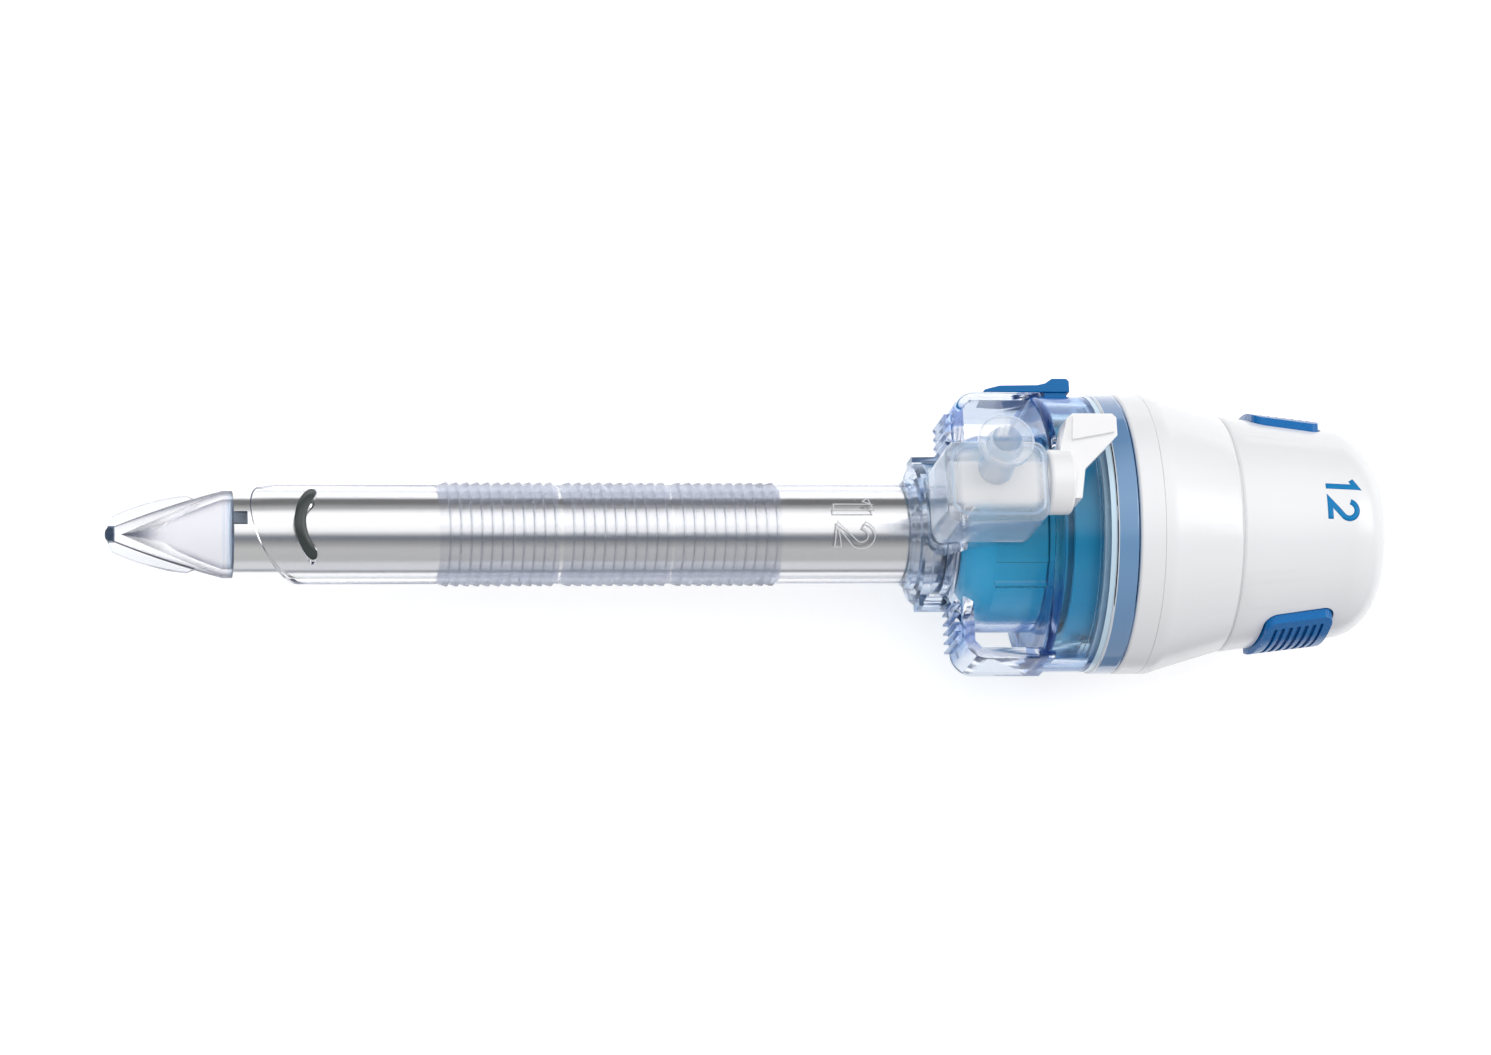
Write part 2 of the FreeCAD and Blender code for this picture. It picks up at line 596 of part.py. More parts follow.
def stopcock_lever():
    """The plug, the hub and the flag of the tap, which is shut as shown, with the flag across the port."""
    arm = plate(lever_outline(), LEVER_HALF_WIDTH)
    pad_end = LEVER_X + LEVER_LENGTH - 0.5
    pad = [(LEVER_X + 3.6, LEVER_REACH * 0.58), (pad_end, LEVER_REACH * 0.7), (pad_end, LEVER_REACH - 0.5),
           (LEVER_X + 3.9, LEVER_REACH - 0.5)]
    grip = plate(pad, LEVER_PAD_HALF_WIDTH)
    hub = rod(Vector(LEVER_X, 0, 0), Vector(1, 0, 0), TAP_HUB_RADIUS, LEVER_HUB_LENGTH)
    hub = hub.makeFillet(0.5, [e for e in hub.Edges if e.Curve.TypeId == "Part::GeomCircle"])
    plug_start = BLOCK_X[0] + 1.2 + PLUG_GAP
    plug = rod(Vector(plug_start, 0, 0), Vector(1, 0, 0), BARREL_BORE - PLUG_GAP, LEVER_X + 1 - plug_start)
    lever = joined([arm, grip, hub, plug])
    out = port_direction()
    across = (Vector(0, out.z, -out.y), Vector(0, -1, 0))
    for way in across:
        lever = lever.cut(rod(Vector(TAP_X, 0, 0), way, GAS_BORE, 2 * BARREL_BORE))
    lever.translate(TAP_AXIS)
    return lever


# Latch: a ring inside the drum, turned by a tab, whose ledges hold the lugs of the seal unit

LATCH_RADIUS = DRUM_BORE - PART_GAP
LATCH_BORE = LOCK_BORE + 0.1
LATCH_LENGTH = 5.6
LEDGE_THICKNESS = 0.9
LEDGE_DEPTH = 0.8
LEDGE_HALF_ANGLE = 13.0
LUG_HALF_ANGLE = 12.0
LUG_THICKNESS = 1.5
TAB_BOTTOM = DRUM_RADIUS + 0.8
TAB_LENGTH = 13.2
TAB_STEP_LENGTH = 3.6
TAB_THICKNESS = 1.1
TAB_STEP_THICKNESS = 2.1
TAB_HALF_WIDTH = 2.8
ROOT_HALF_WIDTH = 2.4
LATCH_X = DECK_X + PART_GAP
LATCH_END_X = LATCH_X + LATCH_LENGTH
LEDGE_X = LATCH_END_X - LEDGE_THICKNESS


def latch_ring():
    band = ring(LATCH_X, LATCH_END_X, LATCH_RADIUS, LATCH_BORE)
    ledges = [wedge(LEDGE_X, LATCH_END_X, LATCH_BORE + 0.5, LATCH_BORE - LEDGE_DEPTH, angle, LEDGE_HALF_ANGLE)
              for angle in (0, 180)]
    root = block((DECK_X + 2.0, LATCH_END_X - 0.4), (LATCH_BORE + 0.6, TAB_BOTTOM + 0.3),
                 (-ROOT_HALF_WIDTH, ROOT_HALF_WIDTH))
    end, low = LATCH_END_X, TAB_BOTTOM
    start, step = end - TAB_LENGTH, end - TAB_STEP_LENGTH
    flat, high = low + TAB_THICKNESS, low + TAB_STEP_THICKNESS
    tab = [(start, low), (start + 0.3, low + 0.4), (start + 2.6, flat - 0.1), (step - 1.2, flat),
           (step, flat + 0.3), (step + 1.0, high), (end - 0.4, high), (end, high - 0.4), (end, low)]
    return joined([band, root, plate(tab, TAB_HALF_WIDTH)] + ledges)


# Seal unit: a base with a skirt and lugs, a cover, and the lip seal that floats on its bellows

GASKET_RADIUS = 0.7
GASKET_SIDES = 10
GROOVE_DEPTH = 0.5
GROOVE_WIDTH = 1.7
LUG_RADIUS = LOCK_BORE - 0.1
RIM_HEIGHT = 1.4
RIM_THICKNESS = 1.2
RAISED_RIM = RIM_RADIUS - COVER_WALL - FIXED_GAP
SKIRT_X = DECK_X + 2.2
GROOVE_X = COLLAR_X + 0.7
CENTRE_HOLE = SHAFT_RADIUS + 1.65
COVER_PLATE = 1.5
ARM_STEP = 4.1
ARM_THICKNESS = 1.2
ARM = (COVER_TOP_RADIUS - ARM_STEP - ARM_THICKNESS, COVER_TOP_RADIUS - ARM_STEP)
HOOK_WINDOW = (ARM[0] - 1.6, ARM[1] + 0.4)
HOOK_WINDOW_HALF = 4.0
FLOAT_X = COVER_X + 2.0
CLAMP_RADIUS = COVER_TOP_RADIUS - 3.3
CLAMP_THICKNESS = 1.2
CLAMP_WIDTH = 2.0
FUNNEL_RADIUS = CLAMP_RADIUS - CLAMP_WIDTH
SOFT_WALL = 0.6
LIP_GAP = 0.1
LIP_LENGTH = 0.8
SEAL_DEPTH = 5.6
SEAL_LEDGE = 0.4
SHIELD_REACH = 2.8
BELLOWS_HEIGHT = 5.2
PIN_CIRCLE = CLAMP_RADIUS - CLAMP_WIDTH / 2
PIN_RADIUS = 0.5
PIN_COUNT = 8
BEAD_WIDTH = 1.3
BEAD_OUTSIDE = RAISED_RIM - RIM_THICKNESS - 0.15


def seal_base():
    bottom = GROOVE_X + GROOVE_WIDTH
    base = Outline(SKIRT_X, SKIRT_BORE).line(SKIRT_X, SKIRT_RADIUS).line(GROOVE_X, SKIRT_RADIUS)
    base.line(GROOVE_X, SKIRT_RADIUS - GROOVE_DEPTH).line(bottom, SKIRT_RADIUS - GROOVE_DEPTH)
    base.line(bottom, SKIRT_RADIUS).line(SEAL_X, SKIRT_RADIUS).line(SEAL_X, RIM_RADIUS - 0.3)
    base.line(SEAL_X + 0.3, RIM_RADIUS).line(COVER_X, RIM_RADIUS).line(COVER_X, RAISED_RIM)
    base.line(COVER_X + RIM_HEIGHT, RAISED_RIM).line(COVER_X + RIM_HEIGHT, RAISED_RIM - RIM_THICKNESS)
    base.line(COVER_X, RAISED_RIM - RIM_THICKNESS).line(COVER_X, SKIRT_BORE)
    lug_end = LEDGE_X - PART_GAP
    lugs = [wedge(lug_end - LUG_THICKNESS, lug_end, LUG_RADIUS, SKIRT_RADIUS - 0.5, angle, LUG_HALF_ANGLE)
            for angle in (0, 180)]
    return joined([base.turned()] + lugs)


def base_gasket():
    """A rubber ring that seals the skirt in the collar."""
    centre = SKIRT_RADIUS - GROOVE_DEPTH + GASKET_RADIUS
    middle = GROOVE_X + GROOVE_WIDTH / 2
    section = []
    for number in range(GASKET_SIDES):
        turn = 2 * math.pi * (number + 0.5) / GASKET_SIDES
        section.append((middle + GASKET_RADIUS * math.cos(turn), centre + GASKET_RADIUS * math.sin(turn)))
    return lathe(section)


def seal_cover():
    shoulder = COVER_X + 0.8
    end, inside = COVER_END_X, COVER_END_X - COVER_PLATE
    slope_end = COVER_X + 2.6
    slope_radius = RIM_RADIUS - 0.4
    shell = Outline(COVER_X, RIM_RADIUS - COVER_WALL).line(COVER_X, RIM_RADIUS).line(shoulder, RIM_RADIUS)
    shell.arc(slope_end, slope_radius, 0.1).line(end - 0.3, COVER_TOP_RADIUS + 0.1)
    shell.line(end, COVER_TOP_RADIUS - 0.3).line(end, CENTRE_HOLE).line(inside, CENTRE_HOLE)
    shell.line(inside, COVER_TOP_RADIUS - COVER_WALL + 0.1)
    shell.line(COVER_X + RIM_HEIGHT + FIXED_GAP, RIM_RADIUS - COVER_WALL)
    body = shell.turned()
    low, high = HOOK_WINDOW
    window = block((inside - 1, end + 1), (low, high), (-HOOK_WINDOW_HALF, HOOK_WINDOW_HALF))
    for side in (1, -1):
        body = body.cut(on_side(window, side))
    return body


def pin_holes(radius, x0, x1):
    holes = []
    for number in range(PIN_COUNT):
        turn = 2 * math.pi * number / PIN_COUNT
        start = Vector(x0, PIN_CIRCLE * math.cos(turn), PIN_CIRCLE * math.sin(turn))
        holes.append(rod(start, Vector(1, 0, 0), radius, x1 - x0))
    return holes


def seal_clamp_lower():
    flat = ring(FLOAT_X, FLOAT_X + CLAMP_THICKNESS, CLAMP_RADIUS, FUNNEL_RADIUS)
    top = FLOAT_X + CLAMP_THICKNESS + 2 * SOFT_WALL + CLAMP_THICKNESS
    return joined([flat] + pin_holes(PIN_RADIUS, FLOAT_X + CLAMP_THICKNESS / 2, top))


def funnel_radius(depth):
    """Inner radius of the lip seal, at a depth below the top of its flange."""
    top, lip = FUNNEL_RADIUS - SEAL_LEDGE, SHAFT_RADIUS + LIP_GAP
    return top - (top - lip) * depth / (SOFT_WALL + SEAL_DEPTH - LIP_LENGTH)


def instrument_seal():
    """The lip seal: a soft funnel whose mouth lies just off the shaft."""
    flange = FLOAT_X + CLAMP_THICKNESS
    lip, ledge = SHAFT_RADIUS + LIP_GAP, FUNNEL_RADIUS - SEAL_LEDGE
    mouth = flange - SEAL_DEPTH
    back = flange + SOFT_WALL
    body = lathe([(flange, CLAMP_RADIUS), (flange, ledge), (mouth, lip + SOFT_WALL), (mouth, lip),
                  (mouth + LIP_LENGTH, lip), (back, ledge), (back, CLAMP_RADIUS)])
    for hole in pin_holes(PIN_RADIUS + FIXED_GAP, flange - 1, flange + 1):
        body = body.cut(hole)
    return body


def seal_shield():
    """Four petals that keep sharp edges off the lip seal."""
    flange = FLOAT_X + CLAMP_THICKNESS + SOFT_WALL
    ledge = FUNNEL_RADIUS - SEAL_LEDGE
    mouth = flange - SHIELD_REACH
    petal = funnel_radius(SHIELD_REACH) - FIXED_GAP
    body = lathe([(flange, CLAMP_RADIUS), (flange, ledge), (mouth, petal), (mouth, petal - SOFT_WALL),
                  (flange + SOFT_WALL, ledge), (flange + SOFT_WALL, CLAMP_RADIUS)])
    for hole in pin_holes(PIN_RADIUS + FIXED_GAP, flange - 1, flange + 1):
        body = body.cut(hole)
    slit = block((mouth - 1, flange - 0.2), (-FUNNEL_RADIUS, FUNNEL_RADIUS), (-0.3, 0.3))
    return body.cut(about_axis(slit, 45)).cut(about_axis(slit, 135))


def seal_clamp_upper():
    start = FLOAT_X + CLAMP_THICKNESS + 2 * SOFT_WALL
    body = ring(start, start + CLAMP_THICKNESS, CLAMP_RADIUS, FUNNEL_RADIUS - 1.6)
    for hole in pin_holes(PIN_RADIUS + FIXED_GAP, start - 1, start + CLAMP_THICKNESS + 1):
        body = body.cut(hole)
    return body


def seal_bellows():
    """A soft pleated ring from the base to the floating clamp, which lets the lip seal follow the tool."""
    inner, outer = BEAD_OUTSIDE - BEAD_WIDTH, BEAD_OUTSIDE
    start = COVER_X
    crest = start + BELLOWS_HEIGHT
    clamp_end = FLOAT_X + CLAMP_THICKNESS
    middle = (CLAMP_RADIUS + inner) / 2
    return lathe([(start, inner), (start, outer), (start + 1.0, outer), (start + 1.0, inner + SOFT_WALL),
                  (crest, middle + SOFT_WALL), (crest, middle - SOFT_WALL),
                  (clamp_end, CLAMP_RADIUS + FIXED_GAP), (FLOAT_X, CLAMP_RADIUS + FIXED_GAP),
                  (FLOAT_X, CLAMP_RADIUS + SOFT_WALL),
                  (clamp_end, CLAMP_RADIUS + SOFT_WALL), (crest - SOFT_WALL, middle), (start + 1.0, inner)])


# Handle: a base that carries the shaft, a cap, and two sprung buttons whose hooks hold the seal unit

BASE_PLATE = 1.6
HUB_RADIUS = SHAFT_RADIUS + 2.05
GUIDE_BOSS = 2.0
POST_RADIUS = 1.4
POST_CIRCLE = COVER_TOP_RADIUS - 5.2
POST_ANGLE = 68.0
SOCKET_WALL = 0.9
SOCKET_LENGTH = 2.9
ENTRY_BORE = SCOPE_BORE + 0.5
ENTRY_FUNNEL = 1.3
STRAIGHT_LENGTH = 16.4
END_RADIUS = FLARE_RADIUS + 0.6
DOME = 0.4
BUTTON_PLACE = 4.8
BUTTON_LENGTH = 10.2
BUTTON_X = (HANDLE_X + BUTTON_PLACE, HANDLE_X + BUTTON_PLACE + BUTTON_LENGTH)
BUTTON_HALF_WIDTH = 8.2
BUTTON_CORNER = 1.6
BUTTON_PROUD = 1.05
BUTTON_GAP = 0.25
BUTTON_LIP = 0.9
BUTTON_SKIN = 1.0
BUTTON_RIB_COUNT = 7
BUTTON_RIB_PITCH = 1.2
BUTTON_RIB_DEPTH = 0.6
BUTTON_TRAVEL = 1.5
ARM_HALF_WIDTH = 3.4
BARB = 1.1
BARB_LENGTH = 1.0
SPRING_RADIUS = 2.1
SPRING_WIRE = 0.25
SPRING_TURNS = 4
SPRING_SIDES = 6
SPRING_PEG = 1.3


def cap_radius(x):
    """Outer radius of the cap where it is a plain cone."""
    share = (x - HANDLE_X) / STRAIGHT_LENGTH
    return COVER_TOP_RADIUS + (CAP_END_RADIUS - COVER_TOP_RADIUS) * share


def cap_cone(inset, x0, x1):
    """A solid cone that lies inside the cap's skin by the inset, or outside it if negative."""
    r0, r1 = cap_radius(x0) - inset, cap_radius(x1) - inset
    return lathe([(x0, 0), (x0, r0), (x1, r1), (x1, 0)])


def button_block(grow, bottom=0.0):
    """The rounded prism that a button, its window or its lip is cut to."""
    x = (BUTTON_X[0] - grow, BUTTON_X[1] + grow)
    half = BUTTON_HALF_WIDTH + grow
    radius = BUTTON_CORNER + grow
    return rounded_block(x, (bottom, 2 * COVER_TOP_RADIUS), (-half, half), radius, Vector(0, 1, 0))


def post_places():
    turn = math.radians(POST_ANGLE)
    y, z = POST_CIRCLE * math.cos(turn), POST_CIRCLE * math.sin(turn)
    return [(sy * y, sz * z) for sy in (1, -1) for sz in (1, -1)]


def handle_cap():
    straight_end = HANDLE_X + STRAIGHT_LENGTH
    end = HANDLE_END_X
    shell = Outline(HANDLE_X, COVER_TOP_RADIUS - CAP_WALL).line(HANDLE_X, COVER_TOP_RADIUS - 0.3)
    shell.line(HANDLE_X + 0.3, COVER_TOP_RADIUS).line(straight_end, CAP_END_RADIUS)
    shell.arc(end - DOME, END_RADIUS, 2.15).line(end, ENTRY_BORE + ENTRY_FUNNEL)
    shell.line(end - 2.0, ENTRY_BORE).line(FLARE_X + FLARE_LENGTH + FIXED_GAP, ENTRY_BORE)
    shell.line(FLARE_X + FLARE_LENGTH + FIXED_GAP, FLARE_RADIUS).line(end - DOME - CAP_WALL, FLARE_RADIUS)
    inside = CAP_END_RADIUS - CAP_WALL
    shell.line(end - DOME - CAP_WALL, END_RADIUS).line(straight_end + 4.0, inside - 2.0)
    body = shell.line(straight_end + 1.0, inside).line(straight_end - 0.4, inside).turned()
    posts = []
    for y, z in post_places():
        start = HANDLE_X + BASE_PLATE + FIXED_GAP
        length = end - DOME - CAP_WALL / 2 - start
        posts.append(rod(Vector(start, y, z), Vector(1, 0, 0), POST_RADIUS, length))
    outside = Outline(HANDLE_X, 0).line(HANDLE_X, COVER_TOP_RADIUS - 1).line(straight_end, CAP_END_RADIUS - 1)
    trim = outside.arc(end - DOME - 1, END_RADIUS, 2.0).line(end - DOME - 1, 0).turned()
    body = joined([body] + [post.common(trim) for post in posts])
    for side in (1, -1):
        body = body.cut(on_side(button_block(BUTTON_GAP, FLARE_RADIUS + BUTTON_TRAVEL), side))
    return body


def handle_base():
    plate_end = HANDLE_X + BASE_PLATE
    disc = ring(HANDLE_X, plate_end, COVER_TOP_RADIUS - CAP_WALL - 2 * FIXED_GAP - 0.1)
    hub = ring(HANDLE_X - GUIDE_BOSS, HANDLE_X, CENTRE_HOLE - PART_GAP)
    tower = ring(HANDLE_X, FLARE_X, HUB_RADIUS)
    sockets, wells = [], []
    for y, z in post_places():
        start = Vector(plate_end, y, z)
        sockets.append(rod(start, Vector(1, 0, 0), POST_RADIUS + SOCKET_WALL, SOCKET_LENGTH))
        wells.append(rod(start, Vector(1, 0, 0), POST_RADIUS + FIXED_GAP, SOCKET_LENGTH + 1))
    pegs = []
    for side in (1, -1):
        peg = rod(Vector(spring_x(), HUB_RADIUS - 1, 0), Vector(0, 1, 0), SPRING_PEG, 2.0)
        pegs.append(on_side(peg, side))
    body = joined([disc, hub, tower] + sockets + pegs)
    bore_start = Vector(HANDLE_X - GUIDE_BOSS - 1, 0, 0)
    bore = rod(bore_start, Vector(1, 0, 0), SHAFT_RADIUS + FIXED_GAP, HANDLE_LENGTH)
    low, high = ARM
    slot = block((HANDLE_X - 1, plate_end + 1), (low - BUTTON_TRAVEL - BARB / 2, high + BARB + 0.3),
                 (-HOOK_WINDOW_HALF, HOOK_WINDOW_HALF))
    for space in [bore] + wells + [on_side(slot, 1), on_side(slot, -1)]:
        body = body.cut(space)
    return body


def spring_x():
    return (BUTTON_X[0] + BUTTON_X[1]) / 2


def spring_seat():
    """How far from the axis the spring presses on the button."""
    return cap_radius(BUTTON_X[1]) - CAP_WALL - PART_GAP - BUTTON_SKIN


def release_button(side):
    """A ribbed pad that fills its window, a lip that keeps it in, and a hook under the seal cover."""
    x0, x1 = BUTTON_X
    skin = cap_cone(-BUTTON_PROUD, x0 - 1, x1 + 1)
    pad = button_block(0, spring_seat()).common(skin)
    grooves = []
    for number in range(BUTTON_RIB_COUNT):
        x = spring_x() + (number - (BUTTON_RIB_COUNT - 1) / 2) * BUTTON_RIB_PITCH
        outer = cap_radius(x) + BUTTON_PROUD
        band = ring(x - BUTTON_RIB_PITCH / 4, x + BUTTON_RIB_PITCH / 4, outer + 1, outer - BUTTON_RIB_DEPTH)
        grooves.append(band.common(button_block(-BUTTON_CORNER + 0.3, spring_seat())))
    inner = CAP_WALL + PART_GAP
    outer_cone = cap_cone(inner, x0 - 2, x1 + 2)
    inner_cone = cap_cone(inner + BUTTON_SKIN, x0 - 3, x1 + 3)
    lip = outer_cone.cut(inner_cone).common(button_block(BUTTON_GAP + BUTTON_LIP))
    low, high = ARM
    hook_x = COVER_END_X - COVER_PLATE - PART_GAP - BARB_LENGTH
    arm = block((hook_x, x0 + 2), (low, high), (-ARM_HALF_WIDTH, ARM_HALF_WIDTH))
    bridge_top = cap_radius(x0) - CAP_WALL - PART_GAP - 0.3
    bridge = block((x0, x0 + 2), (low, bridge_top), (-ARM_HALF_WIDTH, ARM_HALF_WIDTH))
    barb_end = hook_x + BARB_LENGTH
    barb = plate([(hook_x, high - 0.3), (barb_end, high - 0.3), (barb_end, high + BARB),
                  (hook_x + BARB_LENGTH * 0.6, high + BARB), (hook_x, high)], ARM_HALF_WIDTH)
    body = joined([pad.cut(inner_cone), lip, bridge, arm, barb])
    for groove in grooves:
        body = body.cut(groove)
    return on_side(body, side)


def button_spring(side):
    start = HUB_RADIUS + SPRING_WIRE + FIXED_GAP
    height = spring_seat() - start - SPRING_WIRE - FIXED_GAP
    path = Part.makeHelix(height / SPRING_TURNS, height, SPRING_RADIUS)
    corners = []
    for number in range(SPRING_SIDES):
        turn = 2 * math.pi * number / SPRING_SIDES
        corners.append(Vector(SPRING_RADIUS + SPRING_WIRE * math.cos(turn), 0, SPRING_WIRE * math.sin(turn)))
    section = Part.makePolygon(corners + corners[:1])
    coil = Part.Wire(path).makePipeShell([section], True, True)
    coil.rotate(Vector(0, 0, 0), Vector(1, 0, 0), -90)
    coil.translate(Vector(spring_x(), start, 0))
    return on_side(coil, side)


save("cannula_tube", cannula_tube())
save("cannula_housing", cannula_housing())
save("housing_collar", housing_collar())
save("valve_cup", valve_cup())
save("duckbill_seal", duckbill_seal())
save("duckbill_retainer", duckbill_retainer())
save("stopcock_body", stopcock_body())
save("stopcock_lever", stopcock_lever())
save("latch_ring", latch_ring())
save("seal_base", seal_base())
save("base_gasket", base_gasket())
save("seal_cover", seal_cover())
save("seal_clamp_lower", seal_clamp_lower())
save("instrument_seal", instrument_seal())
save("seal_shield", seal_shield())
save("seal_clamp_upper", seal_clamp_upper())
save("seal_bellows", seal_bellows())
save("obturator_tip", obturator_tip())
save("obturator_shaft", obturator_shaft())
save("handle_base", handle_base())
save("handle_cap", handle_cap())
for label, way in (("left", 1), ("right", -1)):
    save("release_button_" + label, release_button(way))
    save("button_spring_" + label, button_spring(way))
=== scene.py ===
import json
import math

import bmesh
import bpy
from mathutils import Matrix, Vector


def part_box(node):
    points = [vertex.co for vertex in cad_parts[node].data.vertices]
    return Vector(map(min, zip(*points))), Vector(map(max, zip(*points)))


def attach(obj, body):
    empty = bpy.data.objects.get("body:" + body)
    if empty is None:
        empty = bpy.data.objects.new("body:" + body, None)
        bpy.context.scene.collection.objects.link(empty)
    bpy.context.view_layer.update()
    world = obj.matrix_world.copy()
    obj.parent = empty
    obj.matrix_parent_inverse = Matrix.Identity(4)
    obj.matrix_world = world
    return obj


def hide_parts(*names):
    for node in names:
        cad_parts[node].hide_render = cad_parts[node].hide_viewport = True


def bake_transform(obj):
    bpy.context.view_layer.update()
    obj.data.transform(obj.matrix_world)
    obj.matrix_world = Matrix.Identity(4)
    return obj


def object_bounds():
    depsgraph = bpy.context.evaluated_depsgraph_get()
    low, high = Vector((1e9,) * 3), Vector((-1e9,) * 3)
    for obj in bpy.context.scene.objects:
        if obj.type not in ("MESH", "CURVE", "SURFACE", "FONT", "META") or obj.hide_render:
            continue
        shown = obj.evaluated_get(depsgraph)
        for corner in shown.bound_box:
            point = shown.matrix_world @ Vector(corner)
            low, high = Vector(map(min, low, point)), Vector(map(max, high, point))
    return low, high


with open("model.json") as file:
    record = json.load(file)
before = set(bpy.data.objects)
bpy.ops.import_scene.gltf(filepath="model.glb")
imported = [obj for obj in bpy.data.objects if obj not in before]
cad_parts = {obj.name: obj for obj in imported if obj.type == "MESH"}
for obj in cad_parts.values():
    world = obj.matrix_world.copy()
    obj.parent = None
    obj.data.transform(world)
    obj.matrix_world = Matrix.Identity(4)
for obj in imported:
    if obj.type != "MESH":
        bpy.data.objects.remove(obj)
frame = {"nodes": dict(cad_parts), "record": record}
cad_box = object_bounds()

MM = 0.001
NODES = frame["nodes"]

# The camera stands where the photograph was taken from, for the real size of the trocar
PHOTO_WIDTH = 1491
FOCAL_PIXELS = 5100
SENSOR = 36.0
CAMERA_DISTANCE = 750 * MM
CAMERA_YAW = math.radians(9.3)
CAMERA_ROLL = math.radians(15.0)
AIM_X = -24.64 * MM
AIM_RISE = 1.0 * MM

# Tip and shaft
TIP_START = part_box("obturator_tip")[0].x
SHAFT_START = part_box("obturator_shaft")[0].x
SHAFT_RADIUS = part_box("obturator_shaft")[1].z
TIP_SLOPE = (SHAFT_RADIUS - 1.0 * MM) / (SHAFT_START - TIP_START)
NOSE_LENGTH, NOSE_RADIUS = 1.4 * MM, 1.25 * MM

# Sleeve: where each group of ribs starts and how many it has, then the side hole
RIB_ZONES = ((-70.2 * MM, 11), (-52.2 * MM, 10), (-36.0 * MM, 10))
RIB_PITCH = 1.53 * MM
SLOT_X = -90.6 * MM
SLOT_BEND = 6.6 * MM
SLOT_WIDTH = 1.65 * MM
SLOT_HALF_ANGLE = math.radians(50)
SLOT_STEPS = 48
SLOT_THICKNESS = 0.3 * MM
SLOT_OVER_SHAFT = 0.25 * MM

# Housing, collar and latch
COLLAR_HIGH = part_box("housing_collar")[1]
COLLAR_START = COLLAR_HIGH.x - 3.5 * MM
HOUSING_RADIUS = COLLAR_HIGH.z - 0.4 * MM
# Painted blue for the light that runs along the housing's plates lies at the step between cup and drum,
# between these limits and beyond this radius, and in the wings up to WING_BLUE_END
DECK_LOW, DECK_HIGH = COLLAR_START - 8.9 * MM, COLLAR_START - 7.5 * MM
DECK_RIM = 15.5 * MM
# Width of the painted highlight along the collar's edge
COLLAR_EDGE = 0.38 * MM
WING_ROOT = 14.8 * MM
WING_BLUE_END = 17.6 * MM
NOZZLE_END = 6.5 * MM
TAB_HALF_WIDTH, TAB_REACH = 3.2 * MM, 18.0 * MM
SKIRT_REACH = 17.0 * MM

# Tap: the middle of its case and the height of its front, then the line of painted edge shade round that
# front
TAP_LOW, TAP_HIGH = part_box("stopcock_body")
CASE = ((TAP_LOW.x + TAP_HIGH.x) / 2, TAP_LOW.y + 5.9 * MM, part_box("stopcock_lever")[1].z)
FRONT_HALF_LENGTH, FRONT_HALF_HEIGHT, FRONT_CORNER = 6.6 * MM, 5.0 * MM, 2.0 * MM

# Cap and numerals
CAP_LOW, CAP_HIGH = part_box("handle_cap")
CAP_NUMERAL_X, CAP_NUMERAL_TURN, CAP_NUMERAL_HEIGHT = 61.9 * MM, math.radians(6.0), 5.0 * MM
SLEEVE_NUMERAL_X, SLEEVE_NUMERAL_TURN, SLEEVE_NUMERAL_HEIGHT = -9.6 * MM, math.radians(4.0), 6.0 * MM
OUTLINE_WIDTH = 0.16 * MM
PRINT_THICKNESS, OUTLINE_THICKNESS = 0.06 * MM, 0.1 * MM
OUTLINE_LIFT = 0.04 * MM
LONGEST_EDGE = 0.6 * MM

# Rings that close the joints, and a pale raised ring along the collar's edge whose pale colour is a painted
# highlight
RING_STEPS = 128
JOINT_GAP, JOINT_INSET, JOINT_SUNK = 0.16 * MM, 0.02 * MM, 0.4 * MM
RING_DEPTH, BEAD_DEPTH = 0.8 * MM, 0.3 * MM
BEAD_LENGTH, BEAD_RAISED = 0.75 * MM, 0.06 * MM

# Rounded edges
EDGE_ROUND = 0.14 * MM
SOFT_ROUND = 0.3 * MM
LEVER_ROUND = 0.45 * MM
SHARP_ANGLE = math.radians(28)

# Studio. The bands of light go by degrees round the trocar from the camera's side, through +Y
FLOOR_DROP = 0.2 * MM
FLOOR_SIZE = 6
FLOOR_GLOW = 0.65
AMBIENT = (0.59, 0.59, 0.605)
SLATE = (0.20, 0.225, 0.265)
SKY = (0.45, 0.58, 0.92)
MIRRORED_LIGHT = [
    (-180, 0.6), (-78, 0.62), (-60, 0.62), (-38, 0.66), (-20, 0.36), (-13, SLATE), (-4, SLATE), (6, 1.2),
    (30, 1.65), (56, 1.45), (74, 0.75), (83, 0.2), (104, 0.2), (180, 0.5)]
PASSED_LIGHT = [
    (-180, 1.0), (-100, (0.75, 0.82, 0.98)), (-70, SKY), (-30, (0.9, 0.93, 1.0)), (40, 1.0), (85, SKY),
    (110, (0.8, 0.87, 1.0)), (180, 1.0)]


class Term:
    """A node socket that takes Python's operators."""

    def __init__(self, graph, socket):
        self.graph = graph
        self.socket = socket

    def sum(self, operation, *others, first=None):
        values = [self if first is None else first] + list(others)
        return self.graph.node("ShaderNodeMath", {"operation": operation}, dict(enumerate(values)))

    def __add__(self, other):
        return self.sum("ADD", other)

    def __radd__(self, other):
        return self.sum("ADD", other)

    def __sub__(self, other):
        return self.sum("SUBTRACT", other)

    def __rsub__(self, other):
        return self.sum("SUBTRACT", self, first=other)

    def __mul__(self, other):
        return self.sum("MULTIPLY", other)

    def __rmul__(self, other):
        return self.sum("MULTIPLY", other)

    def __truediv__(self, other):
        return self.sum("DIVIDE", other)

    def __gt__(self, other):
        return self.sum("GREATER_THAN", other)

    def __lt__(self, other):
        return self.sum("LESS_THAN", other)

    def __pow__(self, other):
        return self.sum("POWER", other)

    def fraction(self):
        return self.sum("FRACT")

    def ramp(self, low, high):
        """0 below the low value, 1 above the high one, smooth between."""
        settings = {"interpolation_type": "SMOOTHSTEP"}
        return self.graph.node("ShaderNodeMapRange", settings, {0: self, 1: low, 2: high})


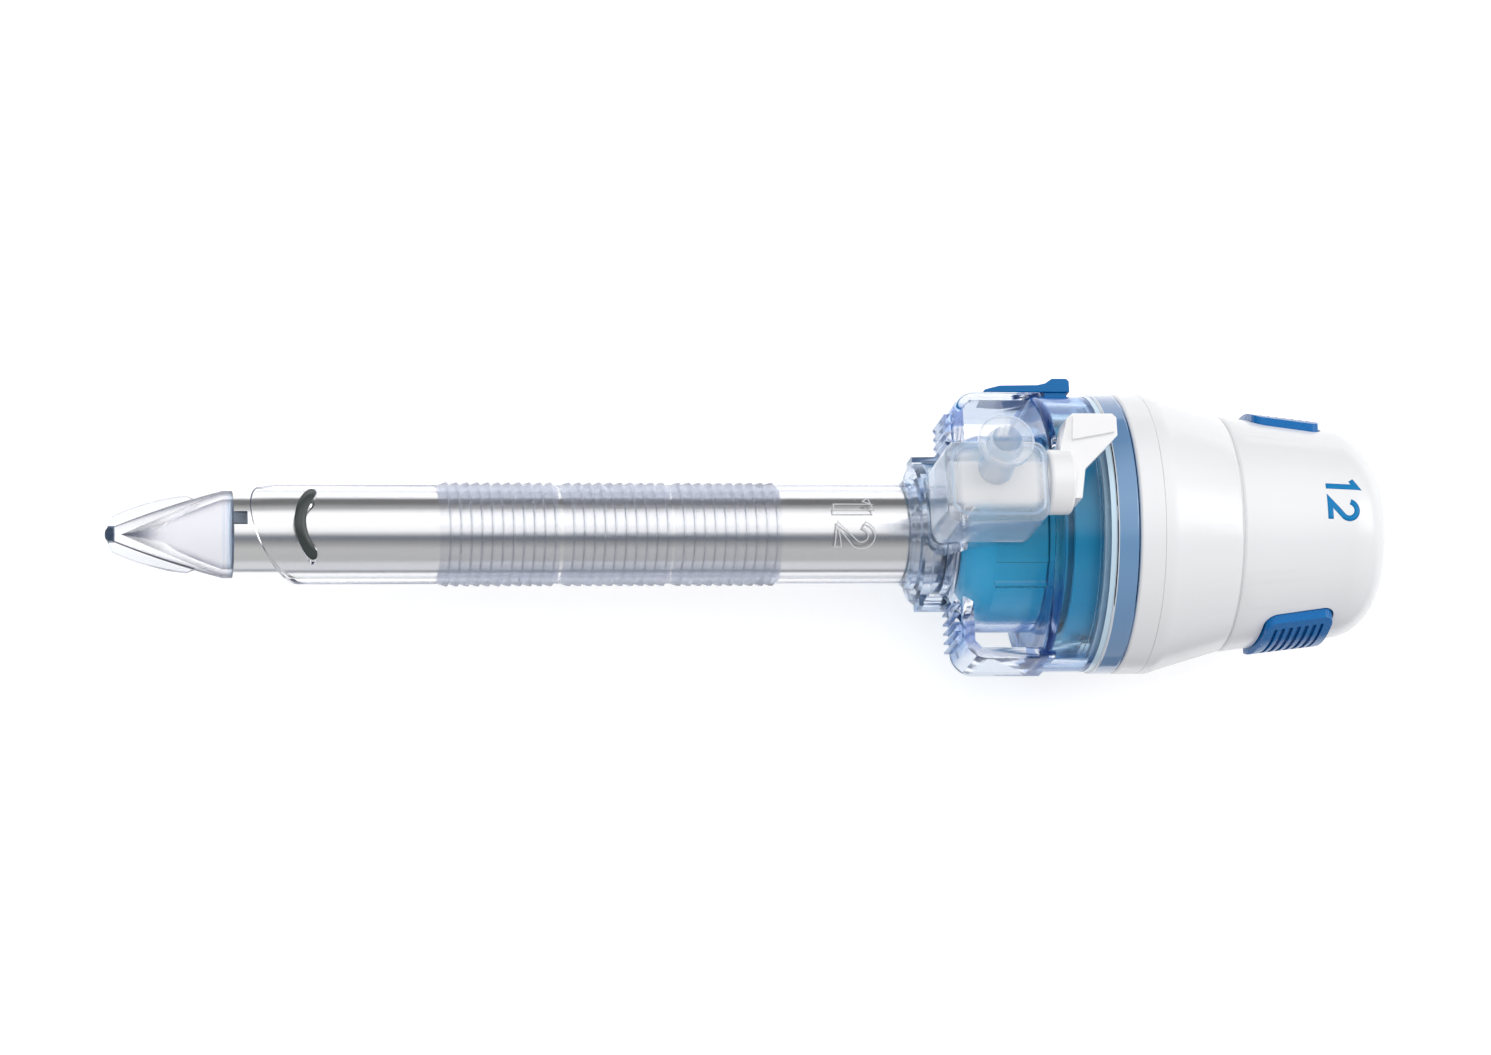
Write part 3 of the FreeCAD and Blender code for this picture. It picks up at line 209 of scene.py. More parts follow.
class Graph:
    """The nodes of one material or of the world."""

    def __init__(self, tree):
        self.tree = tree

    def node(self, kind, settings=None, inputs=None, output=0):
        made = self.tree.nodes.new(kind)
        for name, value in (settings or {}).items():
            if name == "stops":
                self.set_stops(made.color_ramp, value)
            else:
                setattr(made, name, value)
        for name, value in (inputs or {}).items():
            self.plug(made.inputs[name], value)
        return Term(self, made.outputs[output])

    def set_stops(self, ramp, stops):
        while len(ramp.elements) < len(stops):
            ramp.elements.new(0.5)
        for element, (place, colour) in zip(ramp.elements, stops):
            element.position = place
        for element, (place, colour) in zip(ramp.elements, stops):
            element.color = (*colour, 1) if len(colour) == 3 else colour

    def plug(self, socket, value):
        if isinstance(value, Term):
            self.tree.links.new(value.socket, socket)
        elif isinstance(value, (tuple, list)) and len(value) == 3 and socket.type == "RGBA":
            socket.default_value = (*value, 1)
        else:
            socket.default_value = value

    def mix(self, share, first, second):
        """A colour that goes from the first to the second with the share."""
        return self.node("ShaderNodeMix", {"data_type": "RGBA"}, {0: share, 6: first, 7: second}, output=2)

    def place(self):
        return self.node("ShaderNodeTexCoord", output="Object")

    def axes(self):
        """The object's x, y and z as three terms."""
        parts = self.tree.nodes.new("ShaderNodeSeparateXYZ")
        self.plug(parts.inputs[0], self.place())
        return [Term(self, output) for output in parts.outputs]

    def noise(self, scale, detail=2.0, stretch=(1, 1, 1)):
        moved = self.node("ShaderNodeMapping", None, {"Vector": self.place(), "Scale": stretch})
        return self.node("ShaderNodeTexNoise", None, {"Vector": moved, "Scale": scale, "Detail": detail})

    def bump(self, height, strength, distance):
        values = {"Height": height, "Strength": strength, "Distance": distance}
        return self.node("ShaderNodeBump", None, values)

    def facing(self, blend=0.5):
        """0 where the surface faces the eye and 1 at its rim."""
        return self.node("ShaderNodeLayerWeight", None, {"Blend": blend}, output="Facing")


def material(name, **sockets):
    """A new material, its graph and its main shader, with plain values on the shader's sockets."""
    made = bpy.data.materials.new(name)
    made.use_nodes = True
    graph = Graph(made.node_tree)
    shader = made.node_tree.nodes["Principled BSDF"]
    for socket, value in sockets.items():
        graph.plug(shader.inputs[socket.replace("_", " ").title().replace("Ior", "IOR")], value)
    return made, graph, shader


def moulded(name, colour, roughness=0.3, grain=0.02, **sockets):
    """An opaque moulded plastic: even colour, faint flow marks and a fine moulded grain."""
    made, graph, shader = material(name, **sockets)
    flow = graph.noise(60, 3, (1, 0.4, 0.4))
    dark = tuple(0.94 * channel for channel in colour)
    graph.plug(shader.inputs["Base Color"], graph.mix(flow, dark, colour))
    fine = graph.noise(2500, 2)
    graph.plug(shader.inputs["Roughness"], roughness + (fine - 0.5) * 0.08)
    graph.plug(shader.inputs["Normal"], graph.bump(fine, grain, 0.02 * MM))
    return made


def clear(name, body, rim, ior, start, end, roughness=0.03, milk=0.0, rims=None):
    """A clear plastic whose walls turn to a deeper colour where the eye looks along them: partly the
    plastic's tint seen through more of it, partly painted edge shade for the dark edges that refraction
    gives.

    body and rim are colours, or functions of the graph that return one. rims may change the rim's share.
    """
    made, graph, shader = material(name, ior=ior, transmission_weight=1.0 - milk, roughness=roughness)
    graph.plug(shader.inputs["Base Color"], body(graph) if callable(body) else body)
    edge = graph.tree.nodes.new("ShaderNodeBsdfPrincipled")
    graph.plug(edge.inputs["Base Color"], rim(graph) if callable(rim) else rim)
    graph.plug(edge.inputs["Roughness"], roughness + 0.1)
    graph.plug(edge.inputs["Transmission Weight"], 0.45)
    graph.plug(edge.inputs["IOR"], ior)
    share = graph.facing(0.5).ramp(start, end)
    if rims:
        share = rims(graph, share)
    both = graph.tree.nodes.new("ShaderNodeMixShader")
    graph.plug(both.inputs[0], share)
    graph.tree.links.new(shader.outputs[0], both.inputs[1])
    graph.tree.links.new(edge.outputs[0], both.inputs[2])
    graph.tree.links.new(both.outputs[0], graph.tree.nodes["Material Output"].inputs[0])
    return made


def band(value, low, high):
    """1 where the value lies between the limits."""
    return (value > low) * (value < high)


def housing_body(graph):
    """Nearly clear, with painted blue for the light that runs along the plates: deep blue at the rim of the
    step between cup and drum, away from the middle, and blue on the upper side of the wings.
    """
    x, y, z = graph.axes()
    radius = (y * y + z * z) ** 0.5
    far = y.sum("ABSOLUTE")
    deck_painted_light = band(x, DECK_LOW, DECK_HIGH) * (radius > DECK_RIM) * far.ramp(10 * MM, 14 * MM)
    inner = (far > WING_ROOT) * (1.0 - far.ramp(WING_BLUE_END, WING_BLUE_END + 1.2 * MM))
    wing_painted_light = inner * (x < DECK_LOW) * z.ramp(-1 * MM, 3 * MM)
    mouth = x.ramp(COLLAR_START - 3.5 * MM, COLLAR_START - 0.5 * MM)
    colour = graph.mix(wing_painted_light, (0.97, 0.985, 1.0), (0.30, 0.45, 0.90))
    colour = graph.mix(mouth * 0.6, colour, (0.55, 0.80, 0.93))
    return graph.mix(deck_painted_light * 0.8, colour, (0.05, 0.20, 0.62))


def nozzle_share(graph):
    """1 along the nozzle, 0 from where the drum's cup begins."""
    x, y, z = graph.axes()
    return 1.0 - x.ramp(NOZZLE_END - 2.5 * MM, NOZZLE_END)


def housing_rims(graph, share):
    """Where the painted edge blue shows: at the nozzle and far from the drum's middle, fainter at the wings'
    outer plates.
    """
    x, y, z = graph.axes()
    far = y.sum("ABSOLUTE")
    share = share * (far.ramp(7 * MM, 14 * MM) + 0.2).sum("MINIMUM", 1.0)
    share = share * (1.0 - far.ramp(18 * MM, 19.5 * MM) * (x < DECK_LOW) * 0.65)
    return share.sum("MAXIMUM", nozzle_share(graph) * (graph.facing(0.5) * 0.55 + 0.06))


# Rim colour, deep blue on the walls and paler along the nozzle: partly the housing's tint, partly painted
# edge shade.
def housing_rim(graph):
    return graph.mix(nozzle_share(graph), (0.03, 0.19, 0.60), (0.40, 0.60, 0.92))


def sleeve_body(graph):
    """Clear in the smooth stretches, with a fine grey line painted at every rib: painted shade of the rib's
    flank.
    """
    x, y, z = graph.axes()
    line = None
    for start, count in RIB_ZONES:
        place = ((x - start) / RIB_PITCH).fraction()
        rib_flank_shade = band(x, start, start + (count + 0.05) * RIB_PITCH) * (place > 0.85)
        line = rib_flank_shade if line is None else line + rib_flank_shade
    colour = graph.mix(rib_zone(graph), (0.985, 0.985, 0.99), (0.945, 0.95, 0.97))
    return graph.mix(line, colour, (0.90, 0.91, 0.94))


def rib_zone(graph):
    """1 along the three groups of ribs."""
    x, y, z = graph.axes()
    inside = None
    for start, count in RIB_ZONES:
        group = band(x, start - 0.1 * MM, start + (count + 0.35) * RIB_PITCH)
        inside = group if inside is None else inside + group
    return inside


def sleeve_rims(graph, share):
    """Painted edge shade: a thin edge at the smooth stretches, and a broad milky one along the ribs."""
    milky = graph.facing(0.5).ramp(0.12, 0.55) * 0.68
    return share + rib_zone(graph) * (milky - share)


# Painted edge shade: dark slate at the smooth stretches, milky lavender along the ribs.
def sleeve_rim(graph):
    return graph.mix(rib_zone(graph), (0.30, 0.33, 0.52), (0.66, 0.70, 0.81))


def tip_body(graph):
    """Clear, with greyer fins, a pale blue band and a seam at the base, a dark key and a dark nose."""
    x, y, z = graph.axes()
    radius = (y * y + z * z) ** 0.5
    nose = (x < (TIP_START + NOSE_LENGTH)) * (radius < NOSE_RADIUS)
    base = x.ramp(SHAFT_START - 1.1 * MM, SHAFT_START - 0.5 * MM)
    seam = band(x, SHAFT_START - 0.3 * MM, SHAFT_START)
    key = (x > SHAFT_START) * (radius > (SHAFT_RADIUS - 1.2 * MM))
    colour = graph.mix(base, (0.94, 0.94, 0.965), (0.78, 0.85, 0.93))
    colour = graph.mix(is_fin(x, radius), colour, (0.86, 0.88, 0.91))
    colour = graph.mix(seam * 0.7, colour, (0.30, 0.34, 0.42))
    colour = graph.mix(key, colour, (0.15, 0.16, 0.17))
    return graph.mix(nose, colour, (0.04, 0.06, 0.10))


def is_fin(x, radius):
    return radius > ((x - TIP_START) * TIP_SLOPE + NOSE_RADIUS)


def tip_rims(graph, share):
    """Fainter painted edge shade on the fins."""
    x, y, z = graph.axes()
    return share * (1.0 - is_fin(x, (y * y + z * z) ** 0.5) * 0.6)


def tap_material():
    """Glossy and milky, with a whiter plug, a pale blue line painted round the case's front as painted edge
    shade, and blue edges that are partly the case's tint, partly painted edge shade.
    """
    made, graph, shader = material("tap_clear", roughness=0.1, coat_weight=0.6, coat_roughness=0.03)
    x, y, z = graph.axes()
    middle_x, middle_y, top = CASE
    along = ((x - middle_x).sum("ABSOLUTE") - (FRONT_HALF_LENGTH - FRONT_CORNER)).sum("MAXIMUM", 0.0)
    across = ((y - middle_y).sum("ABSOLUTE") - (FRONT_HALF_HEIGHT - FRONT_CORNER)).sum("MAXIMUM", 0.0)
    reach = (along * along + across * across) ** 0.5 - FRONT_CORNER
    front = band(z, top - 1.1 * MM, top + 0.2 * MM)
    plug = front * (1.0 - reach.ramp(-1.5 * MM, -0.4 * MM))
    line = front * reach.ramp(-0.25 * MM, 0.0) * (1.0 - reach.ramp(0.1 * MM, 0.35 * MM))
    edge = graph.facing(0.5).ramp(0.3, 0.85)
    colour = graph.mix(edge, (0.88, 0.92, 0.965), (0.40, 0.58, 0.83))
    colour = graph.mix(line * 0.7, colour, (0.42, 0.60, 0.84))
    graph.plug(shader.inputs["Base Color"], graph.mix(plug, colour, (0.93, 0.935, 0.94)))
    alpha = (edge * 0.4 + plug * 0.3 + line * 0.3 + 0.27).sum("MINIMUM", 1.0)
    graph.plug(shader.inputs["Alpha"], alpha)
    return made


def collar_material():
    """Translucent blue, deeper where the eye looks along it, partly its tint and partly painted edge shade,
    with a painted highlight: a near-white strip along the edge that meets the drum.
    """
    made, graph, shader = material("collar_tinted", roughness=0.12, ior=1.4, transmission_weight=0.25,
                                   coat_weight=0.6)
    x, y, z = graph.axes()
    painted_edge_highlight = x < (COLLAR_START + COLLAR_EDGE)
    share = graph.facing(0.4)
    colour = graph.mix(share, (0.21, 0.40, 0.66), (0.08, 0.22, 0.50))
    graph.plug(shader.inputs["Base Color"], graph.mix(painted_edge_highlight, colour, (0.86, 0.93, 1.0)))
    return made


def shaft_material():
    """Satin turned metal, with very fine rings round the shaft."""
    made, graph, shader = material("shaft_metal", metallic=1.0)
    rings = graph.noise(2500, 2, (1, 0.01, 0.01))
    cloud = graph.noise(90, 3, (0.3, 1, 1))
    graph.plug(shader.inputs["Base Color"], graph.mix(cloud, (0.70, 0.705, 0.715), (0.78, 0.78, 0.785)))
    graph.plug(shader.inputs["Roughness"], 0.15 + cloud * 0.05 + rings * 0.04)
    graph.plug(shader.inputs["Normal"], graph.bump(rings, 0.02, 0.01 * MM))
    return made


def silicone_material():
    """Soft and slightly see-through, with faint clouds."""
    made, graph, shader = material("seal_silicone", transmission_weight=0.25, subsurface_weight=0.3)
    cloud = graph.noise(200, 3)
    graph.plug(shader.inputs["Base Color"], graph.mix(cloud, (0.74, 0.79, 0.82), (0.84, 0.87, 0.89)))
    graph.plug(shader.inputs["Roughness"], 0.42 + cloud * 0.1)
    return made


FINISHES = {
    "clear_sleeve": clear("sleeve_clear", sleeve_body, sleeve_rim, ior=1.15, start=0.55, end=1.0,
                          roughness=0.04, rims=sleeve_rims),
    "clear_housing": clear("housing_clear", housing_body, housing_rim, ior=1.22, start=0.35, end=0.92,
                           rims=housing_rims),
    "tinted_collar": collar_material(),
    "turquoise_cup": moulded("cup_turquoise", (0.01, 0.46, 0.74), 0.32),
    "silicone": silicone_material(),
    "inner_plastic": moulded("inner_white", (0.78, 0.79, 0.80), 0.5),
    "frosted_tap": tap_material(),
    "white_lever": moulded("lever_white", (0.91, 0.91, 0.91), 0.2),
    "blue_latch": moulded("latch_blue", (0.0, 0.15, 0.42), 0.2, specular_ior_level=0.25),
    "blue_button": moulded("button_blue", (0.0, 0.14, 0.42), 0.28, specular_ior_level=0.25),
    "white_shell": moulded("shell_white", (0.87, 0.875, 0.885), 0.25),
    "gasket_rubber": moulded("gasket_blue", (0.05, 0.24, 0.50), 0.55),
    # The tip's near-black rim colour is painted edge shade.
    "clear_tip": clear("tip_clear", tip_body, (0.07, 0.085, 0.15), ior=1.2, start=0.35, end=0.85,
                       roughness=0.05, milk=0.1, rims=tip_rims),
    "metal_shaft": shaft_material(),
    "spring_steel": material("spring_wire", metallic=1.0, roughness=0.25, base_color=(0.6, 0.6, 0.62))[0],
}
PRINT_BLUE = moulded("print_blue", (0.0, 0.20, 0.48), 0.4, specular_ior_level=0.25)
# The latch band's deep blue rim colour is partly its tint, partly painted edge shade.
LATCH_CLEAR = clear("latch_band", (0.74, 0.93, 0.98), (0.03, 0.28, 0.60), ior=1.22, start=0.45, end=0.95,
                    roughness=0.04)
# Pale colour of the raised ring along the collar's edge: a painted highlight.
BEAD_PALE = moulded("bead_pale", (0.60, 0.78, 0.90), 0.15)
# Near-black grey of the sheet under the sleeve's side hole: painted shade.
SLOT_PAINTED_SHADE = moulded("slot_painted_shade", (0.035, 0.045, 0.045), 0.35)
EMBOSSED = moulded("embossed_pale", (0.90, 0.905, 0.92), 0.2, alpha=0.75)
ROUNDINGS = {
    "stopcock_lever": LEVER_ROUND,
    "latch_ring": SOFT_ROUND,
    "release_button_left": SOFT_ROUND,
    "release_button_right": SOFT_ROUND,
    "housing_collar": SOFT_ROUND,
    "button_spring_left": 0,
    "button_spring_right": 0,
}


def body_of(node):
    for body, members in frame["record"]["behaviour"]["bodies"].items():
        if node in members:
            return body


def slot_of(node):
    for entry in frame["record"]["subparts"]:
        if entry["node"] == node:
            return entry["material_slot"]


def linked(name, mesh, finish):
    """A new piece of the object with its mesh and its finish."""
    piece = bpy.data.objects.new(name, mesh)
    bpy.context.scene.collection.objects.link(piece)
    mesh.materials.append(finish)
    return piece


def as_mesh(name, shape):
    """Turns a bmesh into a mesh."""
    mesh = bpy.data.meshes.new(name)
    shape.to_mesh(mesh)
    shape.free()
    return mesh


def smoothed(node, edge):
    """A copy of a node with its loose triangles merged and its edges rounded, which stands for the node."""
    name = node + "_finished"
    shape = bmesh.new()
    shape.from_mesh(NODES[node].data)
    bmesh.ops.remove_doubles(shape, verts=shape.verts, dist=0.001 * MM)
    bmesh.ops.dissolve_degenerate(shape, edges=shape.edges, dist=0.0005 * MM)
    bmesh.ops.dissolve_limit(shape, angle_limit=math.radians(0.4), verts=shape.verts, edges=shape.edges)
    mesh = as_mesh(name, shape)
    mesh.shade_smooth()
    mesh.set_sharp_from_angle(angle=SHARP_ANGLE)
    piece = linked(name, mesh, FINISHES[slot_of(node)])
    if edge:
        rounding = piece.modifiers.new("rounded_edges", "BEVEL")
        rounding.width = edge
        rounding.segments = 2
        rounding.limit_method = "ANGLE"
        rounding.angle_limit = math.radians(35)
        rounding.harden_normals = True
    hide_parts(node)
    if node.startswith("button_spring"):
        squeezed(piece)
    else:
        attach(piece, body_of(node))
    return piece


def squeezed(piece):
    """Bakes a spring's placement into its mesh, and leaves it on no body."""
    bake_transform(piece)


def stroke(name, points, width, thickness):
    """A flat ribbon of even width along a line of points."""
    edge = bpy.data.curves.new(name + "_edge", "CURVE")
    outline = edge.splines.new("POLY")
    outline.points.add(3)
    for point, (x, y) in zip(outline.points, ((-1, -1), (1, -1), (1, 1), (-1, 1))):
        point.co = (x * width / 2, y * thickness / 2, 0, 1)
    outline.use_cyclic_u = True
    profile = bpy.data.objects.new(name + "_edge", edge)
    path = bpy.data.curves.new(name, "CURVE")
    path.dimensions = "2D"
    line = path.splines.new("POLY")
    line.points.add(len(points) - 1)
    for point, (x, y) in zip(line.points, points):
        point.co = (x, y, 0, 1)
    path.bevel_mode = "OBJECT"
    path.bevel_object = profile
    path.use_fill_caps = True
    drawn = bpy.data.objects.new(name, path)
    bpy.context.scene.collection.objects.link(drawn)
    bpy.context.scene.collection.objects.link(profile)
    bpy.context.view_layer.update()
    mesh = bpy.data.meshes.new_from_object(drawn.evaluated_get(bpy.context.evaluated_depsgraph_get()))
    bpy.data.objects.remove(drawn)
    bpy.data.objects.remove(profile)
    return mesh


def outline(points, width):
    """A closed line round a stroke of the given width."""
    sides = ([], [])
    for index, point in enumerate(points):
        before, after = points[max(0, index - 1)], points[min(len(points) - 1, index + 1)]
        along = Vector((after[0] - before[0], after[1] - before[1])).normalized()
        for side, sign in zip(sides, (1, -1)):
            side.append((point[0] - along.y * sign * width / 2, point[1] + along.x * sign * width / 2))
    return sides[0] + sides[1][::-1] + sides[0][:1]


def numeral(name, height, thickness, line=None):
    """The number 12 as flat strokes or as their outlines, in small faces, centred, its top towards +Y."""
    width = height * 0.17
    bowl = height * 0.255
    bowl_steps = 18
    two = []
    for step in range(bowl_steps + 1):
        turn = math.radians(165 - step * 200 / bowl_steps)
        two.append((bowl * math.cos(turn), height - width / 2 - bowl + bowl * math.sin(turn)))
    two += [(-bowl, width / 2), (bowl * 1.15, width / 2)]
    two = [(x + height * 0.42, y) for x, y in two]
    one = [(-height * 0.52, height * 0.80), (-height * 0.30, height * 0.96), (-height * 0.30, 0)]
    shape = bmesh.new()
    for label, points in (("one", one), ("two", two)):
        points = [(x, y - height / 2) for x, y in points]
        if line:
            points = outline(points, width)
        shape.from_mesh(stroke(name + "_" + label, points, line or width, thickness))
    bmesh.ops.triangulate(shape, faces=shape.faces)
    bmesh.ops.remove_doubles(shape, verts=shape.verts, dist=0.001 * MM)
    for cut in range(12):
        long = [e for e in shape.edges if e.calc_length() > LONGEST_EDGE]
        if not long:
            break
        bmesh.ops.subdivide_edges(shape, edges=long, cuts=1)
        bmesh.ops.triangulate(shape, faces=shape.faces)
    return as_mesh(name, shape)


def wrap(mesh, surface, middle_x, turn, lift):
    """Lays flat numerals on a round surface, with their tops towards +X. The turn is from +Z towards +Y."""
    start = 2 * CAP_HIGH.z
    shape = bmesh.new()
    shape.from_mesh(mesh)
    for vertex in shape.verts:
        flat = vertex.co.copy()
        radius = CAP_HIGH.z
        for step in range(3):
            angle = turn - flat.x / radius
            out = Vector((0, math.sin(angle), math.cos(angle)))
            hit, point = surface.ray_cast(Vector((middle_x + flat.y, 0, 0)) + out * start, -out)[:2]
            if hit:
                radius = math.hypot(point.y, point.z)
        vertex.co = point + out * (flat.z + lift)
    bmesh.ops.recalc_face_normals(shape, faces=shape.faces)
    shape.to_mesh(mesh)
    shape.free()


def paint(piece, finish, chosen):
    """Gives a second finish to the faces that the test chooses."""
    piece.data.materials.append(finish)
    for face in piece.data.polygons:
        if chosen(face.center):
            face.material_index = 1


def is_tab(place):
    return place.y > 0 and abs(place.z) < TAB_HALF_WIDTH and math.hypot(place.y, place.z) > TAB_REACH


def is_skirt(place):
    return place.x < COLLAR_START and math.hypot(place.y, place.z) < SKIRT_REACH


def joint_ring(name, start, end, radius, depth, finish, body):
    """A thin ring just under the surface, which closes the view into a joint."""
    shape = bmesh.new()
    corners = [(start, radius), (end, radius), (end, radius - depth), (start, radius - depth)]
    profile = [shape.verts.new((x, 0, z)) for x, z in corners]
    edges = [shape.edges.new((profile[step - 1], profile[step])) for step in range(len(profile))]
    bmesh.ops.spin(shape, geom=profile + edges, cent=(0, 0, 0), axis=(1, 0, 0), angle=2 * math.pi,
                   steps=RING_STEPS, use_merge=True)
    bmesh.ops.recalc_face_normals(shape, faces=shape.faces)
    mesh = as_mesh(name, shape)
    mesh.shade_smooth()
    mesh.set_sharp_from_angle(angle=math.radians(40))
    piece = linked(name, mesh, finish)
    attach(piece, body)


def slot_shade_sheet():
    """A dark sheet laid just over the shaft under the side hole in the sleeve's upper wall: painted shade for
    the hole's inside, a crescent arc with rounded ends.
    """
    centre = SLOT_X + SLOT_BEND
    shape = bmesh.new()
    ends = []
    for radius in (SLOT_BEND - SLOT_WIDTH / 2, SLOT_BEND + SLOT_WIDTH / 2):
        along, across = math.cos(SLOT_HALF_ANGLE), math.sin(SLOT_HALF_ANGLE)
        ends.append(shape.verts.new((centre - radius * along, radius * across, 0)))
    edge = shape.edges.new(ends)
    bmesh.ops.spin(shape, geom=ends + [edge], cent=(centre, 0, 0), axis=(0, 0, 1), angle=2 * SLOT_HALF_ANGLE,
                   steps=SLOT_STEPS)
    for vertex in shape.verts:
        turn = math.atan2(vertex.co.y, centre - vertex.co.x)
        radius = math.hypot(vertex.co.y, centre - vertex.co.x)
        narrow = SLOT_WIDTH / 2 * (1 - math.sqrt(max(0.0, 1 - (turn / SLOT_HALF_ANGLE) ** 8)))
        radius += narrow if radius < SLOT_BEND else -0.98 * narrow
        x, y = centre - radius * math.cos(turn), radius * math.sin(turn)
        vertex.co = (x, y, math.sqrt((SHAFT_RADIUS + SLOT_OVER_SHAFT) ** 2 - y * y))
    bmesh.ops.recalc_face_normals(shape, faces=shape.faces)
    mesh = as_mesh("slot_shade_sheet", shape)
    mesh.shade_smooth()
    piece = linked("slot_shade_sheet", mesh, SLOT_PAINTED_SHADE)
    thick = piece.modifiers.new("thickness", "SOLIDIFY")
    thick.thickness = SLOT_THICKNESS
    thick.offset = 0
    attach(piece, "cannula")


def cap_numeral():
    """The size, printed flat on the cap."""
    mesh = numeral("cap_numeral", CAP_NUMERAL_HEIGHT, PRINT_THICKNESS)
    wrap(mesh, bpy.data.objects["handle_cap_finished"], CAP_NUMERAL_X, CAP_NUMERAL_TURN, 0.0)
    piece = linked("cap_numeral", mesh, PRINT_BLUE)
    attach(piece, "obturator")


def sleeve_numeral():
    """The size, raised as a thin outline on the sleeve."""
    mesh = numeral("sleeve_numeral", SLEEVE_NUMERAL_HEIGHT, OUTLINE_THICKNESS, OUTLINE_WIDTH)
    wrap(mesh, bpy.data.objects["cannula_tube_finished"], SLEEVE_NUMERAL_X, SLEEVE_NUMERAL_TURN, OUTLINE_LIFT)
    piece = linked("sleeve_numeral", mesh, EMBOSSED)
    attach(piece, "cannula")


def joint_rings():
    """Rings behind the gaps at the cap and at the collar, and a pale raised ring along the collar's edge
    whose pale colour is a painted highlight.
    """
    cap_end, collar_end = CAP_LOW.x - JOINT_INSET, COLLAR_HIGH.x + JOINT_INSET
    joint_ring("cap_joint", cap_end - JOINT_GAP, cap_end, CAP_HIGH.z - JOINT_SUNK, RING_DEPTH,
               FINISHES["white_shell"], "obturator")
    joint_ring("collar_joint", collar_end, collar_end + JOINT_GAP, COLLAR_HIGH.z - JOINT_SUNK, RING_DEPTH,
               FINISHES["tinted_collar"], "cannula")
    joint_ring("collar_bead", COLLAR_START - BEAD_LENGTH, COLLAR_START, HOUSING_RADIUS + BEAD_RAISED,
               BEAD_DEPTH, BEAD_PALE, "cannula")


def dress():
    for node in sorted(NODES):
        smoothed(node, ROUNDINGS.get(node, EDGE_ROUND))
    paint(bpy.data.objects["latch_ring_finished"], LATCH_CLEAR, lambda place: not is_tab(place))
    paint(bpy.data.objects["seal_base_finished"], FINISHES["turquoise_cup"], is_skirt)
    bpy.context.view_layer.update()
    cap_numeral()
    sleeve_numeral()
    slot_shade_sheet()
    joint_rings()


def photo_camera():
    yaw, roll = CAMERA_YAW, CAMERA_ROLL
    back = Vector((-math.sin(yaw), -math.cos(yaw) * math.sin(roll), math.cos(yaw) * math.cos(roll)))
    right = Vector((math.cos(yaw), -math.sin(yaw) * math.sin(roll), math.sin(yaw) * math.cos(roll)))
    up = Vector((0, math.cos(roll), math.sin(roll)))
    data = bpy.data.cameras.new("photo_camera")
    data.sensor_width = SENSOR
    data.lens = FOCAL_PIXELS / PHOTO_WIDTH * SENSOR
    data.clip_start = 0.01
    camera = bpy.data.objects.new("photo_camera", data)
    bpy.context.scene.collection.objects.link(camera)
    turn = Matrix((right, up, back)).transposed().to_4x4()
    aim = Vector((AIM_X, 0, 0)) + up * AIM_RISE
    camera.matrix_world = Matrix.Translation(aim + back * CAMERA_DISTANCE) @ turn
    bpy.context.scene.camera = camera


def area_light(name, place, aim, size, power):
    data = bpy.data.lights.new(name, "AREA")
    data.shape = "RECTANGLE"
    data.size, data.size_y = size
    data.energy = power
    light = bpy.data.objects.new(name, data)
    bpy.context.scene.collection.objects.link(light)
    way = Vector(aim) - Vector(place)
    light.matrix_world = Matrix.Translation(place) @ way.to_track_quat("-Z", "Y").to_matrix().to_4x4()
    return light


def light_path(graph):
    """Four shares: the camera's own ray, one just passed, one just mirrored, and one mirrored at any time."""
    path = graph.tree.nodes.new("ShaderNodeLightPath").outputs
    own, passed = Term(graph, path["Is Camera Ray"]), Term(graph, path["Is Transmission Ray"])
    mirrored = Term(graph, path["Is Glossy Ray"])
    return own, passed, mirrored, Term(graph, path["Glossy Depth"]) > 0.5


